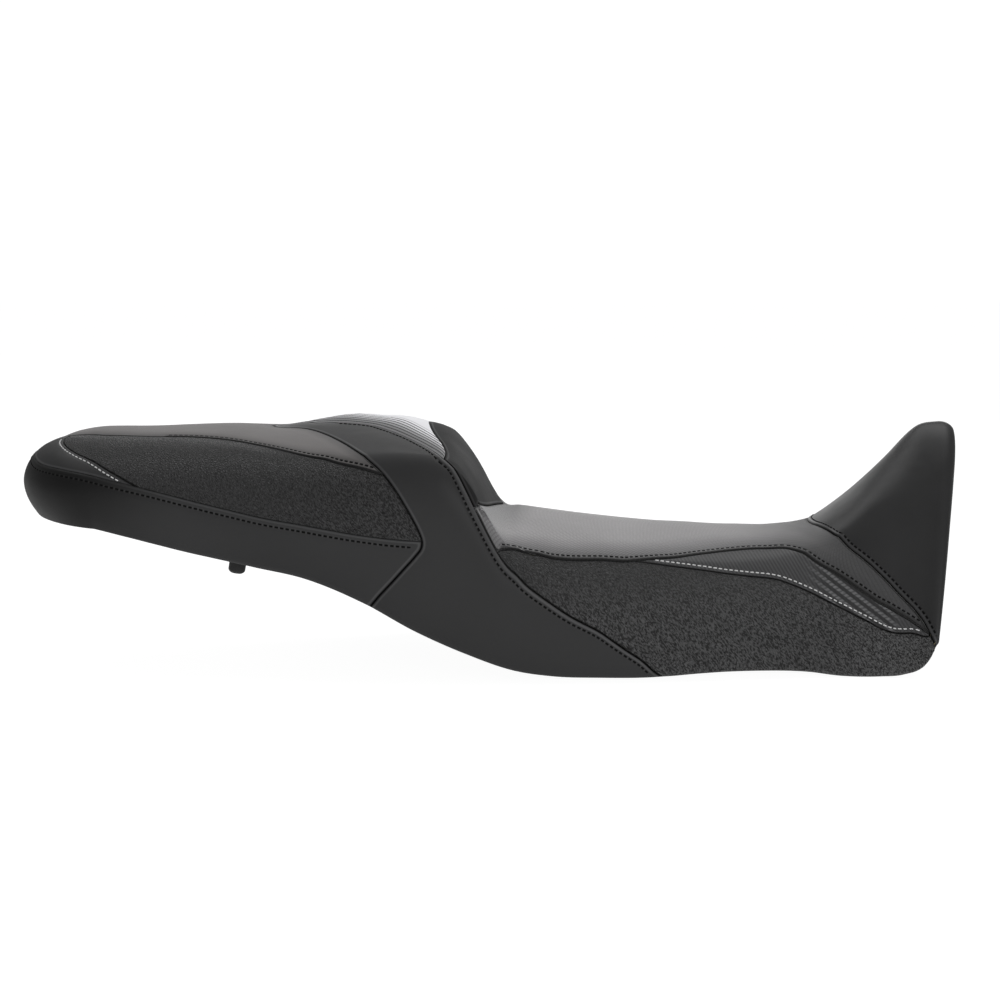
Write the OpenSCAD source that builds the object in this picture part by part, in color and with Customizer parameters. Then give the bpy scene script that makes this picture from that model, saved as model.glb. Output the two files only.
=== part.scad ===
// Dual motorcycle seat: a moulded plastic pan carries one block of foam, and a cover sewn from
// separate panels is pulled over the foam and stapled under the rim of the pan.
// Millimetres. +X is forward (tank end), +Y is the rider's left, +Z is up.

/* [Node] */
// One node's name, or all

/* [Cover] */
// Thickness of a cover panel
skin = 2; // [1:0.1:3]
// Clear gap along a seam, between two panels
seam_gap = 0.8; // [0.4:0.1:1.5]
// Distance from the outside of the cover to the foam
foam_depth = 3; // [2.2:0.1:5]

/* [Pan] */
// Wall of the pan, measured upwards
pan_wall = 3; // [2:0.5:5]
// Flat rim around the pan
rim_width = 14; // [10:1:20]
// Run of the slope from the rim to the raised floor
step_run = 8; // [5:1:15]
// Height of the rim above the bottom edge of the cover
rim_lift = 2.2; // [1.5:0.1:4]

/* [Fittings] */
// Radius of a rubber bumper
bumper_r = 7; // [5:0.5:12]
// Radius of the round bar of the latch striker
striker_r = 4; // [3:0.5:6]
// Width of the front tongue
tongue_width = 50; // [30:5:80]
// Thickness of the steel plates
plate = 3; // [2:0.5:5]
// Distance between staples along the hem
staple_pitch = 42; // [25:1:80]

/* [Hidden] */

// The outside of the cover is a row of cross-sections along X. Each table holds [station, value].
// A section has two curves: from the centre line to the shoulder, then down to the bottom edge.
tail_x = -325;      // behind this station the last section is swept around the tail
tail_squash = 0.8;  // depth of that sweep, as a share of the half width
tail_rise = 0.1;    // how much the swept surface climbs towards the back
nose_x = 366;       // last station
nose_lean = 0.188;  // forward lean of the nose, from lean_x on
lean_x = 230;
lean_z = 26;
nose_round = 12;    // radius of the front edge
// height of the centre line
centre_z = [[-325, 196], [-280, 196.5], [-220, 198.5], [-175, 198.5], [-150, 202.5], [-120, 207],
    [-90, 206.5], [-70, 205.5], [-58, 203], [-48, 200.5], [-38, 197], [-30, 193], [-20, 181.5],
    [-10, 166.5], [0, 148], [8, 135.5], [15, 129], [25, 128], [60, 122.5], [110, 115.5],
    [160, 113.5], [210, 111.5], [245, 111.5], [272, 115.5], [300, 138.5], [325, 172.5],
    [342, 197.5], [354, 201], [366, 202]];
// half width at the shoulder
shoulder_y = [[-325, 76], [-260, 86], [-180, 96], [-120, 106], [-80, 112], [-45, 116], [0, 115],
    [40, 110], [100, 100], [160, 86], [220, 72], [270, 58], [310, 46], [366, 40]];
// height of the shoulder
shoulder_z = [[-325, 175], [-280, 178], [-220, 178], [-160, 177], [-120, 180], [-90, 183],
    [-65, 184], [-48, 183], [-36, 180], [-28, 174], [-17, 161], [-6, 142], [3, 125], [12, 112],
    [25, 106], [60, 100], [110, 96], [160, 92], [210, 90], [250, 94], [280, 104], [310, 130],
    [340, 154], [366, 168]];
// half width at the bottom edge
bottom_y = [[-325, 74], [-300, 82], [-200, 106], [-120, 116], [0, 121], [60, 122], [130, 119],
    [200, 109], [260, 102], [310, 100], [366, 110]];
// height of the bottom edge
bottom_z = [[-325, 117], [-250, 102], [-190, 91], [-150, 83], [-100, 63], [-60, 41], [-20, 23],
    [20, 9], [50, 4.5], [90, 3], [135, 3], [170, 5], [220, 6], [260, 4.5], [290, 0.8], [320, 0.8],
    [340, 3.5], [352, 9], [366, 30]];
// slope of the surface at the shoulder, in degrees
shoulder_slope = [[-325, 42], [-200, 45], [-120, 42], [-60, 42], [-20, 45], [40, 48], [100, 50],
    [200, 50], [280, 52], [366, 60]];
// pull of the curve on the inner side of the shoulder
pull_in = [[-325, 20], [-150, 18], [-70, 16], [-45, 7], [10, 7], [30, 13], [200, 15], [300, 18],
    [366, 18]];
// pull of the curve on the outer side of the shoulder
pull_out = [[-325, 28], [-150, 34], [-50, 40], [0, 40], [60, 40], [150, 34], [250, 30], [366, 30]];
// pull of the curve at the centre line
pull_centre = [[-325, 22], [-150, 20], [-70, 18], [-45, 12], [15, 12], [40, 18], [100, 18],
    [200, 16], [300, 14], [366, 14]];
// pull of the curve at the bottom edge
pull_bottom = [[-325, 26], [-150, 34], [0, 50], [100, 34], [200, 30], [300, 30], [366, 40]];
// lean of the side at the bottom edge, in degrees; positive bulges out above the edge
bottom_lean = [[-325, 45], [-280, 20], [-200, 0], [-100, -6], [0, -2], [100, 4], [200, 0],
    [300, -14], [366, -20]];

// Seams. Those of the first kind give the position around the section (0 centre line, 0.5
// shoulder, 1 bottom edge) for a station. Stations below tail_x count degrees around the tail.
// top edge of the pillion's side
pillion_edge = [[-415, 0.3], [-405, 0.293], [-390, 0.255], [-375, 0.226], [-340, 0.198],
    [-317, 0.212], [-283, 0.248], [-241, 0.273], [-214, 0.306], [-177, 0.373], [-141, 0.474],
    [-123, 0.521], [-106, 0.549], [-83.5, 0.585]];
// bottom edge of the pillion's side
skirt_edge = [[-415, 0.49], [-398, 0.51], [-367, 0.56], [-348, 0.572], [-328, 0.593],
    [-307, 0.638], [-285, 0.677], [-260, 0.71], [-233, 0.738], [-206, 0.76], [-179, 0.777],
    [-138, 0.789], [-98, 0.785], [-57, 0.762], [-53.5, 0.76]];
// edge of the rider's seating surface
rider_edge = [[6.5, 0.572], [11, 0.53], [17, 0.506], [26, 0.497], [36, 0.492], [45, 0.504],
    [52, 0.51], [60, 0.51], [90, 0.503], [115, 0.503], [137, 0.471], [152, 0.451], [173, 0.406],
    [202, 0.362], [230, 0.37], [248, 0.412], [256, 0.472], [268, 0.558], [281, 0.628], [299, 0.722],
    [313, 0.777], [328, 0.819], [342, 0.858], [351, 0.889], [357, 0.922]];
// lower edge of the accent strip
accent_edge = [[124, 0.502], [158, 0.521], [185, 0.539], [213, 0.565], [238, 0.60], [254, 0.65],
    [266, 0.689], [277, 0.727], [288, 0.764], [299, 0.80], [310, 0.83], [321, 0.858],
    [329, 0.872], [336, 0.879], [347, 0.893], [357, 0.925]];
// Those of the second kind give the station for a position around the section.
// between the tail wrap and the pillion's side
wrap_seam = [[0.255, -390], [0.297, -383], [0.374, -358], [0.472, -331], [0.58, -308],
    [0.677, -285]];
// arrow-shaped front edge of the pillion's panels
arrow_seam = [[0, -186], [0.09, -177.5], [0.126, -166], [0.164, -156], [0.209, -146], [0.263, -136],
    [0.32, -126], [0.377, -116.5], [0.445, -107], [0.516, -97.5], [0.558, -88.8], [0.585, -83.5],
    [0.623, -76.5], [0.673, -67.5], [0.717, -59.5], [0.745, -55], [0.76, -53.5], [0.78, -54.5],
    [0.802, -59], [0.843, -68], [0.893, -78], [0.945, -87.5], [1, -96]];
// back edge of the insert on the hump
insert_seam = [[0, -159], [0.06, -153], [0.111, -144.5], [0.144, -130], [0.174, -115],
    [0.2, -100.5], [0.25, -86], [0.306, -71.5], [0.355, -57], [0.4, -46], [0.48, -35.5]];
// front edge of the insert, which is the top of the lumbar panel
crest_seam = [[0, -51.5], [0.083, -50.8], [0.155, -48.5], [0.234, -43.5], [0.286, -38.5],
    [0.344, -35.2], [0.48, -35.5]];
// front edge of the hump's side
hump_seam = [[0.48, -35.5], [0.51, -25], [0.538, -17], [0.555, -9.5], [0.563, -2], [0.572, 6.5],
    [0.6, 18.5], [0.645, 30], [0.684, 42], [0.754, 65.5], [0.807, 88.5], [0.842, 99],
    [0.878, 109.5], [0.92, 122], [0.974, 133.5], [1, 140]];
// foot of the lumbar panel
lumbar_foot = [[0, 12.5], [0.063, 11.2], [0.15, 7.2], [0.292, 0.5], [0.42, -5], [0.52, -8.3],
    [0.55, -9.5]];
// between the rider's seating surface and the nose
nose_seam = [[0, 271], [0.13, 272], [0.25, 275.5], [0.37, 280], [0.49, 286], [0.6, 296],
    [0.69, 311], [0.766, 327], [0.865, 350], [0.925, 357], [1, 363.5]];

// depth of the pan's floor above its rim, along X
floor_lift = [[-325, 0], [-300, 0], [-280, 15], [-60, 18], [60, 22], [270, 22], [315, 14],
    [345, 0], [366, 0]];

tail_back = -415;                      // the station at the middle of the tail
wrap_top = 0.255;                      // where the tail wrap's seam meets the pillion's top
insert_corner = 0.48;                  // where the insert, the lumbar and the hump's side meet
foot_end = 0.55;                       // where the lumbar's foot meets the hump's seam
pan_inset = 5;                         // from the outside of the cover to the pan's rim
hem_outer = 3;                         // from the outside of the cover to the hem strip
hem_inner = 15;
hem_thick = 1.2;
pan_front = 362;
tail_half = 74;                        // half width of the bottom edge at tail_x
tiny = 0.01;
$fn = 48;

// ---------------------------------------------------------------- curves through tables
function segment(t, x, i = 0) = (i >= len(t) - 2 || x < t[i + 1][0]) ? i : segment(t, x, i + 1);
function rate(t, i) = (t[i + 1][1] - t[i][1]) / (t[i + 1][0] - t[i][0]);
function tangent(t, i) =
    i == 0 ? rate(t, 0)
    : i == len(t) - 1 ? rate(t, i - 1)
    : let (before = t[i][0] - t[i - 1][0], after = t[i + 1][0] - t[i][0])
        (rate(t, i - 1) * after + rate(t, i) * before) / (before + after);
function clamp(x, low, high) = min(max(x, low), high);
function curve(t, at) =
    let (x = clamp(at, t[0][0], t[len(t) - 1][0]), i = segment(t, x),
        h = t[i + 1][0] - t[i][0], s = (x - t[i][0]) / h, s2 = s * s, s3 = s2 * s)
    (2 * s3 - 3 * s2 + 1) * t[i][1] + (s3 - 2 * s2 + s) * h * tangent(t, i)
        + (3 * s2 - 2 * s3) * t[i + 1][1] + (s3 - s2) * h * tangent(t, i + 1);
function blend(a, b, s) = a + (b - a) * s;
function bezier(p, s) =
    let (r = 1 - s) r * r * r * p[0] + 3 * r * r * s * p[1] + 3 * r * s * s * p[2]
        + s * s * s * p[3];
function bezier_rate(p, s) =
    let (r = 1 - s) 3 * r * r * (p[1] - p[0]) + 6 * r * s * (p[2] - p[1])
        + 3 * s * s * (p[3] - p[2]);

// ---------------------------------------------------------------- the cover's outside
// the two curves of the section at station u, as [y, z] control points
function section(u) =
    let (top = curve(centre_z, u), y = curve(shoulder_y, u), z = curve(shoulder_z, u),
        slope = curve(shoulder_slope, u), along = [cos(slope), -sin(slope)],
        lean = curve(bottom_lean, u), low = [curve(bottom_y, u), curve(bottom_z, u)])
    [[[0, top], [curve(pull_centre, u), top], [y, z] - curve(pull_in, u) * along, [y, z]],
        [[y, z], [y, z] + curve(pull_out, u) * along,
            low + curve(pull_bottom, u) * [sin(lean), cos(lean)], low]];
// the point at w (0 centre line to 1 bottom edge) of a section, before the front edge is rounded
function on_section(sec, w) = w < 0.5 ? bezier(sec[0], 2 * w) : bezier(sec[1], 2 * w - 1);
// the same, rounded in towards the front edge
function rounded(u, w) =
    let (sec = section(u), p = on_section(sec, w),
        d = w < 0.5 ? bezier_rate(sec[0], 2 * w) : bezier_rate(sec[1], 2 * w - 1),
        e = clamp(u - nose_x + nose_round, 0, nose_round),
        r = nose_round - sqrt(nose_round * nose_round - e * e), n = [-d[1], d[0]] / norm(d))
    p - r * [n[0] * clamp(p[0] / 8, 0, 1), n[1]];
// the cover's outside; v is negative on the right
function cover_point(a, v) =
    let (u = max(a, tail_x), turn = clamp(tail_x - a, 0, 180), w = abs(v), p = rounded(u, w),
        back = p[0] * tail_squash * sin(turn), z = p[1] + tail_rise * pow(w, 1.5) * back,
        lean = nose_lean * pow(clamp((u - lean_x) / (nose_x - lean_x), 0, 1), 1.5))
    [u - back + lean * (z - lean_z), (v < 0 ? -1 : 1) * p[0] * cos(turn), z];
// outward normal, from two short steps on the surface
function outward(a0, v0) =
    let (a = abs(v0) < 0.02 ? max(a0, tail_x) : a0, v = clamp(v0, -0.995, 0.995),
        da = a > nose_x - 1 ? -0.5 : 0.5, dv = v > 0.99 ? -0.004 : 0.004, p = cover_point(a, v),
        n = cross(cover_point(a + da, v) - p, cover_point(a, v + dv) - p) * sign(da * dv))
    n / norm(n);
// a point under the surface
function under(a, v, depth) = cover_point(a, v) - depth * outward(a, v);
// stations that run on past the middle of the tail are on the left
function round_tail(q, v, depth) =
    q >= tail_back ? under(q, v, depth) : under(2 * tail_back - q, -v, depth);

// ---------------------------------------------------------------- panels
// shares of a length, kept half a seam gap away from both ends
function shares(n, length) =
    let (g = seam_gap / 2 / length) [for (i = [0:n]) g + (1 - 2 * g) * i / n];
// a four-sided patch between two edges along X and two edges across
function patch(s, t, low, high, back, front) =
    (1 - t) * low(s) + t * high(s) + (1 - s) * back(t) + s * front(t)
        - (1 - s) * (1 - t) * low(0) - s * (1 - t) * low(1)
        - (1 - s) * t * high(0) - s * t * high(1);
// a closed sheet from a grid of outside points and a grid of inside points
module sheet(outside, inside) {
    n = len(outside);
    m = len(outside[0]);
    points = concat([for (row = outside) each row], [for (row = inside) each row]);
    under_side = n * m;
    rim = concat([for (i = [0:n - 2]) i * m], [for (j = [0:m - 2]) (n - 1) * m + j],
        [for (i = [n - 1:-1:1]) i * m + m - 1], [for (j = [m - 1:-1:1]) j]);
    polyhedron(points, concat(
        [for (i = [0:n - 2], j = [0:m - 2]) each let (k = i * m + j)
            [[k, k + 1, k + m], [k + 1, k + m + 1, k + m]]],
        [for (i = [0:n - 2], j = [0:m - 2]) each let (k = under_side + i * m + j)
            [[k, k + m, k + 1], [k + 1, k + m, k + m + 1]]],
        [for (i = [0:len(rim) - 1]) each let (k = rim[i], l = rim[(i + 1) % len(rim)])
            [[k, l, l + under_side], [k, l + under_side, k + under_side]]]));
}
// a panel from a function that turns two shares into a station and a position
module panel(n, m, length, width, chart) {
    grid = [for (s = shares(n, length)) [for (t = shares(m, width)) chart(s, t)]];
    sheet([for (row = grid) [for (c = row) round_tail(c[0], c[1], 0)]],
        [for (row = grid) [for (c = row) round_tail(c[0], c[1], skin)]]);
}

module pillion_side_right() {
    color([0.2, 0.2, 0.21])
    panel(20, 7, 260, 70, function (s, t) patch(s, t,
        function (s) let (a = blend(-285, -53.5, s)) [a, -curve(skirt_edge, a)],
        function (s) let (a = blend(-390, -83.5, s)) [a, -curve(pillion_edge, a)],
        function (t) let (w = blend(0.677, wrap_top, t)) [curve(wrap_seam, w), -w],
        function (t) let (w = blend(0.76, 0.585, t)) [curve(arrow_seam, w), -w]));
}
module pillion_side_left() {
    mirror([0, 1, 0]) pillion_side_right();
}

module rear_wrap_panel() {
    color([0.17, 0.17, 0.18])
    panel(22, 6, 260, 50, function (s, t) patch(s, t,
        function (s) let (q = blend(-545, -285, s), a = max(q, 2 * tail_back - q))
            [q, -curve(skirt_edge, a)],
        function (s) let (q = blend(-440, -390, s), a = max(q, 2 * tail_back - q))
            [q, -curve(pillion_edge, a)],
        function (t) let (w = blend(0.677, wrap_top, t)) [2 * tail_back - curve(wrap_seam, w), -w],
        function (t) let (w = blend(0.677, wrap_top, t)) [curve(wrap_seam, w), -w]));
}

module rear_skirt_panel() {
    color([0.15, 0.15, 0.16])
    panel(46, 4, 700, 60, function (s, t) patch(s, t,
        function (s) [blend(2 * tail_back + 96, -96, s), -1],
        function (s) let (q = blend(2 * tail_back + 53.5, -53.5, s), a = max(q, 2 * tail_back - q))
            [q, -curve(skirt_edge, a)],
        function (t) let (w = blend(1, 0.76, t)) [2 * tail_back - curve(arrow_seam, w), -w],
        function (t) let (w = blend(1, 0.76, t)) [curve(arrow_seam, w), -w]));
}

module hump_side_right() {
    color([0.18, 0.18, 0.19])
    panel(9, 28, 90, 250, function (s, t) let (w = 1 - t)
        [blend(curve(arrow_seam, w), curve(w < insert_corner ? insert_seam : hump_seam, w), s), -w]);
}
module hump_side_left() {
    mirror([0, 1, 0]) hump_side_right();
}

module hump_top_insert() {
    color([0.45, 0.45, 0.47])
    panel(9, 20, 60, 220, function (s, t) let (v = blend(-0.47, 0.47, t), w = abs(v))
        [blend(curve(insert_seam, w), curve(crest_seam, w), s), v]);
}

module lumbar_panel() {
    color([0.17, 0.17, 0.18])
    panel(8, 22, 60, 230, function (s, t) let (v = blend(-0.54, 0.54, t), w = abs(v))
        [blend(curve(w < insert_corner ? crest_seam : hump_seam, w), curve(lumbar_foot, w), s), v]);
}

// half width of the rider's top at a station
function rider_half(a) = curve(rider_edge, min(max(a, 6.5), 357));
function rider_back(v) = curve(v < foot_end ? lumbar_foot : hump_seam, v);
rider_back_stations = [for (k = [0:40]) let (v = 0.572 * k / 40, a = rider_back(v))
    [v / rider_half(a), a]];
rider_front_stations = [for (k = [0:40]) let (v = 0.922 * k / 40, a = curve(nose_seam, v))
    [v / rider_half(a), a]];

// a patch at the back; further on, lines along the panel that spread with its width
function rider_top(s, t) = let (
    corner = patch(s, t,
        function (s) let (a = blend(6.5, 357, s)) [a, -curve(rider_edge, a)],
        function (s) let (a = blend(6.5, 357, s)) [a, curve(rider_edge, a)],
        function (t) let (v = blend(-0.572, 0.572, t)) [rider_back(abs(v)), v],
        function (t) let (v = blend(-0.922, 0.922, t)) [curve(nose_seam, abs(v)), v]),
    share = 2 * t - 1,
    a = blend(6.5, 357, s)
        + (lookup(abs(share), rider_front_stations) - 357) * pow(s, 3)
        + (lookup(abs(share), rider_back_stations) - 6.5) * pow(1 - s, 3),
    onward = min(max((s - 0.15) / 0.3, 0), 1))
    blend(corner, [a, share * rider_half(a)], onward * onward * (3 - 2 * onward));

module rider_top_panel() {
    color([0.42, 0.41, 0.42])
    panel(26, 18, 280, 200, function (s, t) rider_top(s, t));
}

module rider_side_right() {
    color([0.2, 0.2, 0.21])
    panel(22, 8, 250, 70, function (s, t) patch(s, t,
        function (s) [blend(140, 363.5, s), -1],
        function (s) let (a = blend(6.5, 357, s))
            [a, -(a < 124 ? curve(rider_edge, a) : curve(accent_edge, a))],
        function (t) let (w = blend(1, 0.572, t)) [curve(hump_seam, w), -w],
        function (t) let (w = blend(1, 0.925, t)) [curve(nose_seam, w), -w]));
}
module rider_side_left() {
    mirror([0, 1, 0]) rider_side_right();
}

module rider_accent_right() {
    color([0.3, 0.3, 0.32])
    panel(22, 3, 250, 12, function (s, t) let (a = blend(136, 352, s))
        [a, -blend(curve(accent_edge, a), curve(rider_edge, a), t)]);
}
module rider_accent_left() {
    mirror([0, 1, 0]) rider_accent_right();
}

module nose_panel() {
    color([0.17, 0.17, 0.18])
    panel(12, 30, 60, 500, function (s, t) let (v = blend(-1, 1, t))
        [blend(curve(nose_seam, abs(v)), nose_x, pow(s, 0.8)), v]);
}

// the flat front of the seat, inside the rounded front edge
module front_face_panel() {
    edge = [for (i = [0:14]) rounded(nose_x, blend(0.04, 0.985, i / 14)) - seam_gap * [1, 0.5]];
    front = [for (p = edge) [for (share = [-1:0.5:1])
        [nose_x + nose_lean * (p[1] - lean_z), p[0] * share, p[1]]]];
    color([0.17, 0.17, 0.18])
    sheet(front, [for (row = front) [for (p = row) p - [skin, 0, 0]]]);
}

// the pillion's seating surface is laid out in plan, because the tail's sweep meets in a point
function find_position(sec, y, low = 0, high = 0.75, n = 16) =
    let (w = (low + high) / 2)
    n == 0 ? w
    : on_section(sec, w)[0] < y ? find_position(sec, y, w, high, n - 1)
    : find_position(sec, y, low, w, n - 1);
function from_plan(p) =
    let (b = max(0, (tail_x - p[0]) / tail_squash), u = max(p[0], tail_x), r = norm([b, p[1]]))
    [b > 0 ? tail_x - atan2(b, abs(p[1])) : u,
        (p[1] < 0 ? -1 : 1) * find_position(section(u), r)];
function plan(p) = [p[0], p[1]];
module pillion_top_panel() {
    corner = plan(cover_point(-390, -wrap_top));
    function near_side(s) = let (a = blend(-390, -83.5, s)) plan(cover_point(a, -curve(pillion_edge, a)));
    grid = [for (s = shares(24, 240)) [for (t = shares(12, 120)) from_plan(patch(s, t,
        function (s) near_side(s),
        function (s) [near_side(s)[0], -near_side(s)[1]],
        function (t) [corner[0], blend(corner[1], -corner[1], t)],
        function (t) let (v = blend(-0.585, 0.585, t)) plan(cover_point(curve(arrow_seam, abs(v)), v))))]];
    color([0.38, 0.37, 0.37])
    sheet([for (row = grid) [for (c = row) under(c[0], c[1], 0)]],
        [for (row = grid) [for (c = row) under(c[0], c[1], skin)]]);
}

// ---------------------------------------------------------------- pan
function rim_z(x) = curve(bottom_z, x) + tail_rise * max(0, tail_x - x) + rim_lift;
function floor_z(x) = rim_z(x) + lookup(x, floor_lift);
function floor_slope(x) = floor_z(x + 1) - floor_z(x - 1);
function pan_half(x) =
    let (reach = tail_half * tail_squash - pan_inset)
    x >= tail_x ? curve(bottom_y, x) - pan_inset
    : (tail_half - pan_inset) * sqrt(max(0, 1 - pow((tail_x - x) / reach, 2)));
// half of the pan's columns: rim, step, floor; outer is how far the step is moved outwards
function columns(w, outer) =
    let (a = w - rim_width + outer, b = w - rim_width - step_run + outer)
    w > 40 ? [w, a, b, b / 2, 0] : [w, w * 0.8, w * 0.6, w * 0.3, 0];
function pan_row(x, lift, outer) =
    let (c = columns(pan_half(x), outer), z = rim_z(x) + lift,
        f = floor_z(x) + lift, h = [z, z, f, f, f])
    concat([for (i = [0:4]) [x, -c[i], h[i]]], [for (i = [3:-1:0]) [x, c[i], h[i]]]);
rib_pitch = 44;
rib_x = [for (x = [-232:rib_pitch:210]) x];
rib_depth = 7;
pan_x = concat([-378, -374, -367, -356, -342, -325, -300, -280, -256],
    [for (x = rib_x) each [x - 1.6, x - 1.2, x + 1.2, x + 1.6]],
    [232, 256, 270, 285, 300, 315, 330, 345, 352, 357, pan_front]);
function on_rib(x) = len([for (r = rib_x) if (abs(x - r) < 1.4) r]) > 0;
module seat_pan() {
    // ribs across the floor hang down between the steps
    function ribbed(row, x) = on_rib(x)
        ? [for (i = [0:8]) (i > 1 && i < 7) ? row[i] - [0, 0, rib_depth] : row[i]] : row;
    color([0.1, 0.1, 0.1])
    sheet([for (x = pan_x) pan_row(x, pan_wall, 2)],
        [for (x = pan_x) ribbed(pan_row(x, 0, 0), x)]);
}

// ---------------------------------------------------------------- foam
core_x = concat([for (x = [-325:15:-190]) x], [for (x = [-176:11:-77]) x],
    [for (x = [-68:8:28]) x], [for (x = [40:18:256]) x],
    [for (x = [268:9:358]) x], [362, 365, nose_x - tiny]);
core_side = 15;      // points on each side of the section
core_low = 0.965;    // where the foam stops above the pan's rim
foam_gap = 0.5;      // between the pan and the foam
core_turns = 9;      // steps around the tail
// right half of the foam's outline at station u, from the top down and under to the centre
function foam_row(u) =
    let (x = u < 358 ? u : blend(358, u, 0.5), c = columns(pan_half(x), 2.6),
        z = rim_z(x) + pan_wall + foam_gap, f = floor_z(x) + pan_wall + foam_gap, h = [z, z, f, f, f])
    concat([for (i = [0:core_side]) under(u, -core_low * i / core_side, foam_depth)],
        [for (i = [0:4]) [x, -c[i], h[i]]]);
function foam_turn(turn) =
    let (c = columns(pan_half(tail_x), 2.6), k = (tail_half * tail_squash - pan_inset) / c[0])
    concat([for (i = [0:core_side]) i == 0 ? under(tail_x, 0, foam_depth)
            : under(tail_x - turn, -core_low * i / core_side, foam_depth)],
        [for (i = [0:4]) let (x = tail_x - c[i] * k * sin(turn))
            [x, -c[i] * cos(turn), rim_z(x) + pan_wall + foam_gap]]);
module foam_core() {
    half = core_side + 5;             // last index of a half row
    // rows of the right side from the nose back, around the tail, then forward on the left
    right = [for (i = [len(core_x) - 1:-1:1]) foam_row(core_x[i])];
    tail = [for (i = [0:2 * core_turns]) let (turn = 90 * i / core_turns)
        turn <= 90 ? foam_turn(turn) : [for (p = foam_turn(180 - turn)) [p[0], -p[1], p[2]]]];
    left = [for (i = [len(right) - 1:-1:0]) [for (p = right[i]) [p[0], -p[1], p[2]]]];
    rows = concat(right, tail, left);
    n = len(rows);
    first = len(right);
    last = first + len(tail) - 1;
    // the top and bottom centre points are shared by the two sides, and by all rows of the tail
    function shared(i, j) =
        (j > 0 && j < half) ? i * (half + 1) + j
        : (i >= first && i <= last) ? first * (half + 1) + j
        : i > last ? (n - 1 - i) * (half + 1) + j : i * (half + 1) + j;
    function solid(f) = f[0] != f[1] && f[1] != f[2] && f[2] != f[0];
    sides = [for (i = [0:n - 2], j = [0:half - 1]) each
        let (p = shared(i, j), q = shared(i, j + 1), r = shared(i + 1, j + 1), s = shared(i + 1, j))
        [[p, q, r], [p, r, s]]];
    // the front is closed by strips across it, then by a fan of triangles over its straight foot
    front = [for (j = [0:core_side - 1]) each
        let (p = shared(0, j), q = shared(0, j + 1), r = shared(n - 1, j + 1), s = shared(n - 1, j))
        [[q, p, r], [r, p, s]]];
    low_right = shared(0, core_side);
    low_left = shared(n - 1, core_side);
    foot = [for (j = [core_side + 1:half - 1]) each
        [[low_right, shared(0, j + 1), shared(0, j)],
            [low_left, shared(n - 1, j), shared(n - 1, j + 1)]]];
    middle = [[low_left, shared(0, half), low_right]];
    color([0.85, 0.78, 0.55])
    polyhedron([for (row = rows) each row], [for (f = concat(sides, front, foot, middle)) if (solid(f)) f]);
}

// ---------------------------------------------------------------- hem
hem_x = concat([for (x = [345:-15:-315]) x]);
// the bottom edge of the cover as a closed line, moved in and lifted
function hem_line(inset, lift, front) =
    let (side = concat([[front, -(curve(bottom_y, front) - inset), curve(bottom_z, front) + lift]],
            [for (x = hem_x) [x, -(curve(bottom_y, x) - inset), curve(bottom_z, x) + lift]]),
        tail = [for (i = [0:12]) let (turn = 90 * i / 12, reach = tail_half * tail_squash - inset,
            x = tail_x - reach * sin(turn))
            [x, -(tail_half - inset) * cos(turn), curve(bottom_z, tail_x) + tail_rise * (tail_x - x) + lift]],
        right = concat(side, tail))
    concat(right, [for (i = [len(right) - 2:-1:0]) [right[i][0], -right[i][1], right[i][2]]]);
module hem_strip() {
    lift = rim_lift - hem_thick - 0.2;
    rings = [hem_line(hem_outer, lift, 361), hem_line(hem_inner, lift, 350),
        hem_line(hem_inner, lift + hem_thick, 350), hem_line(hem_outer, lift + hem_thick, 361)];
    n = len(rings[0]);
    color([0.12, 0.12, 0.12])
    polyhedron([for (ring = rings) each ring],
        [for (k = [0:3], i = [0:n - 1]) each
            let (a = k * n + i, b = k * n + (i + 1) % n, c = ((k + 1) % 4) * n + (i + 1) % n,
                d = ((k + 1) % 4) * n + i)
            [[a, c, b], [a, d, c]]]);
}
staple_wire = 0.6;
staple_width = 10;
module hem_staples() {
    color([0.7, 0.7, 0.72])
    for (side = [-1, 1], x = [-300:staple_pitch:330]) {
        slope = (curve(bottom_z, x + 2) - curve(bottom_z, x - 2)) / 4;
        turn = (curve(bottom_y, x + 2) - curve(bottom_y, x - 2)) / 4;
        translate([x, side * (curve(bottom_y, x) - 9), curve(bottom_z, x) + rim_lift - hem_thick - 0.3 - staple_wire / 2 - 2 * abs(slope) * abs(slope)])
        rotate([0, -atan(slope), side * atan(turn)])
        cube([staple_width, 1.2, staple_wire], center = true);
    }
}

// ---------------------------------------------------------------- fittings
// something fixed under the pan's floor at x, y, square to the floor; z is 0 at the floor
module under_floor(x, y) {
    translate([x, y, floor_z(x)])
    rotate([0, -atan(floor_slope(x) / 2), 0])
    translate([0, 0, -0.15])
    children();
}
module bumper(x, y, length) {
    color([0.06, 0.06, 0.06])
    under_floor(x, y)
    translate([0, 0, -length]) {
        translate([0, 0, 2]) cylinder(h = length - 2, r = bumper_r);
        cylinder(h = 2, r1 = bumper_r - 2, r2 = bumper_r);
    }
}
rear_bumper = [-204, 70, 31];
middle_bumper = [-34, 84, 16];
front_bumper = [98, 84, 14];
module bumper_rear_left() {
    bumper(rear_bumper[0], rear_bumper[1], rear_bumper[2]);
}
module bumper_rear_right() {
    bumper(rear_bumper[0], -rear_bumper[1], rear_bumper[2]);
}
module bumper_middle_left() {
    bumper(middle_bumper[0], middle_bumper[1], middle_bumper[2]);
}
module bumper_middle_right() {
    bumper(middle_bumper[0], -middle_bumper[1], middle_bumper[2]);
}
module bumper_front_left() {
    bumper(front_bumper[0], front_bumper[1], front_bumper[2]);
}
module bumper_front_right() {
    bumper(front_bumper[0], -front_bumper[1], front_bumper[2]);
}

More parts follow.
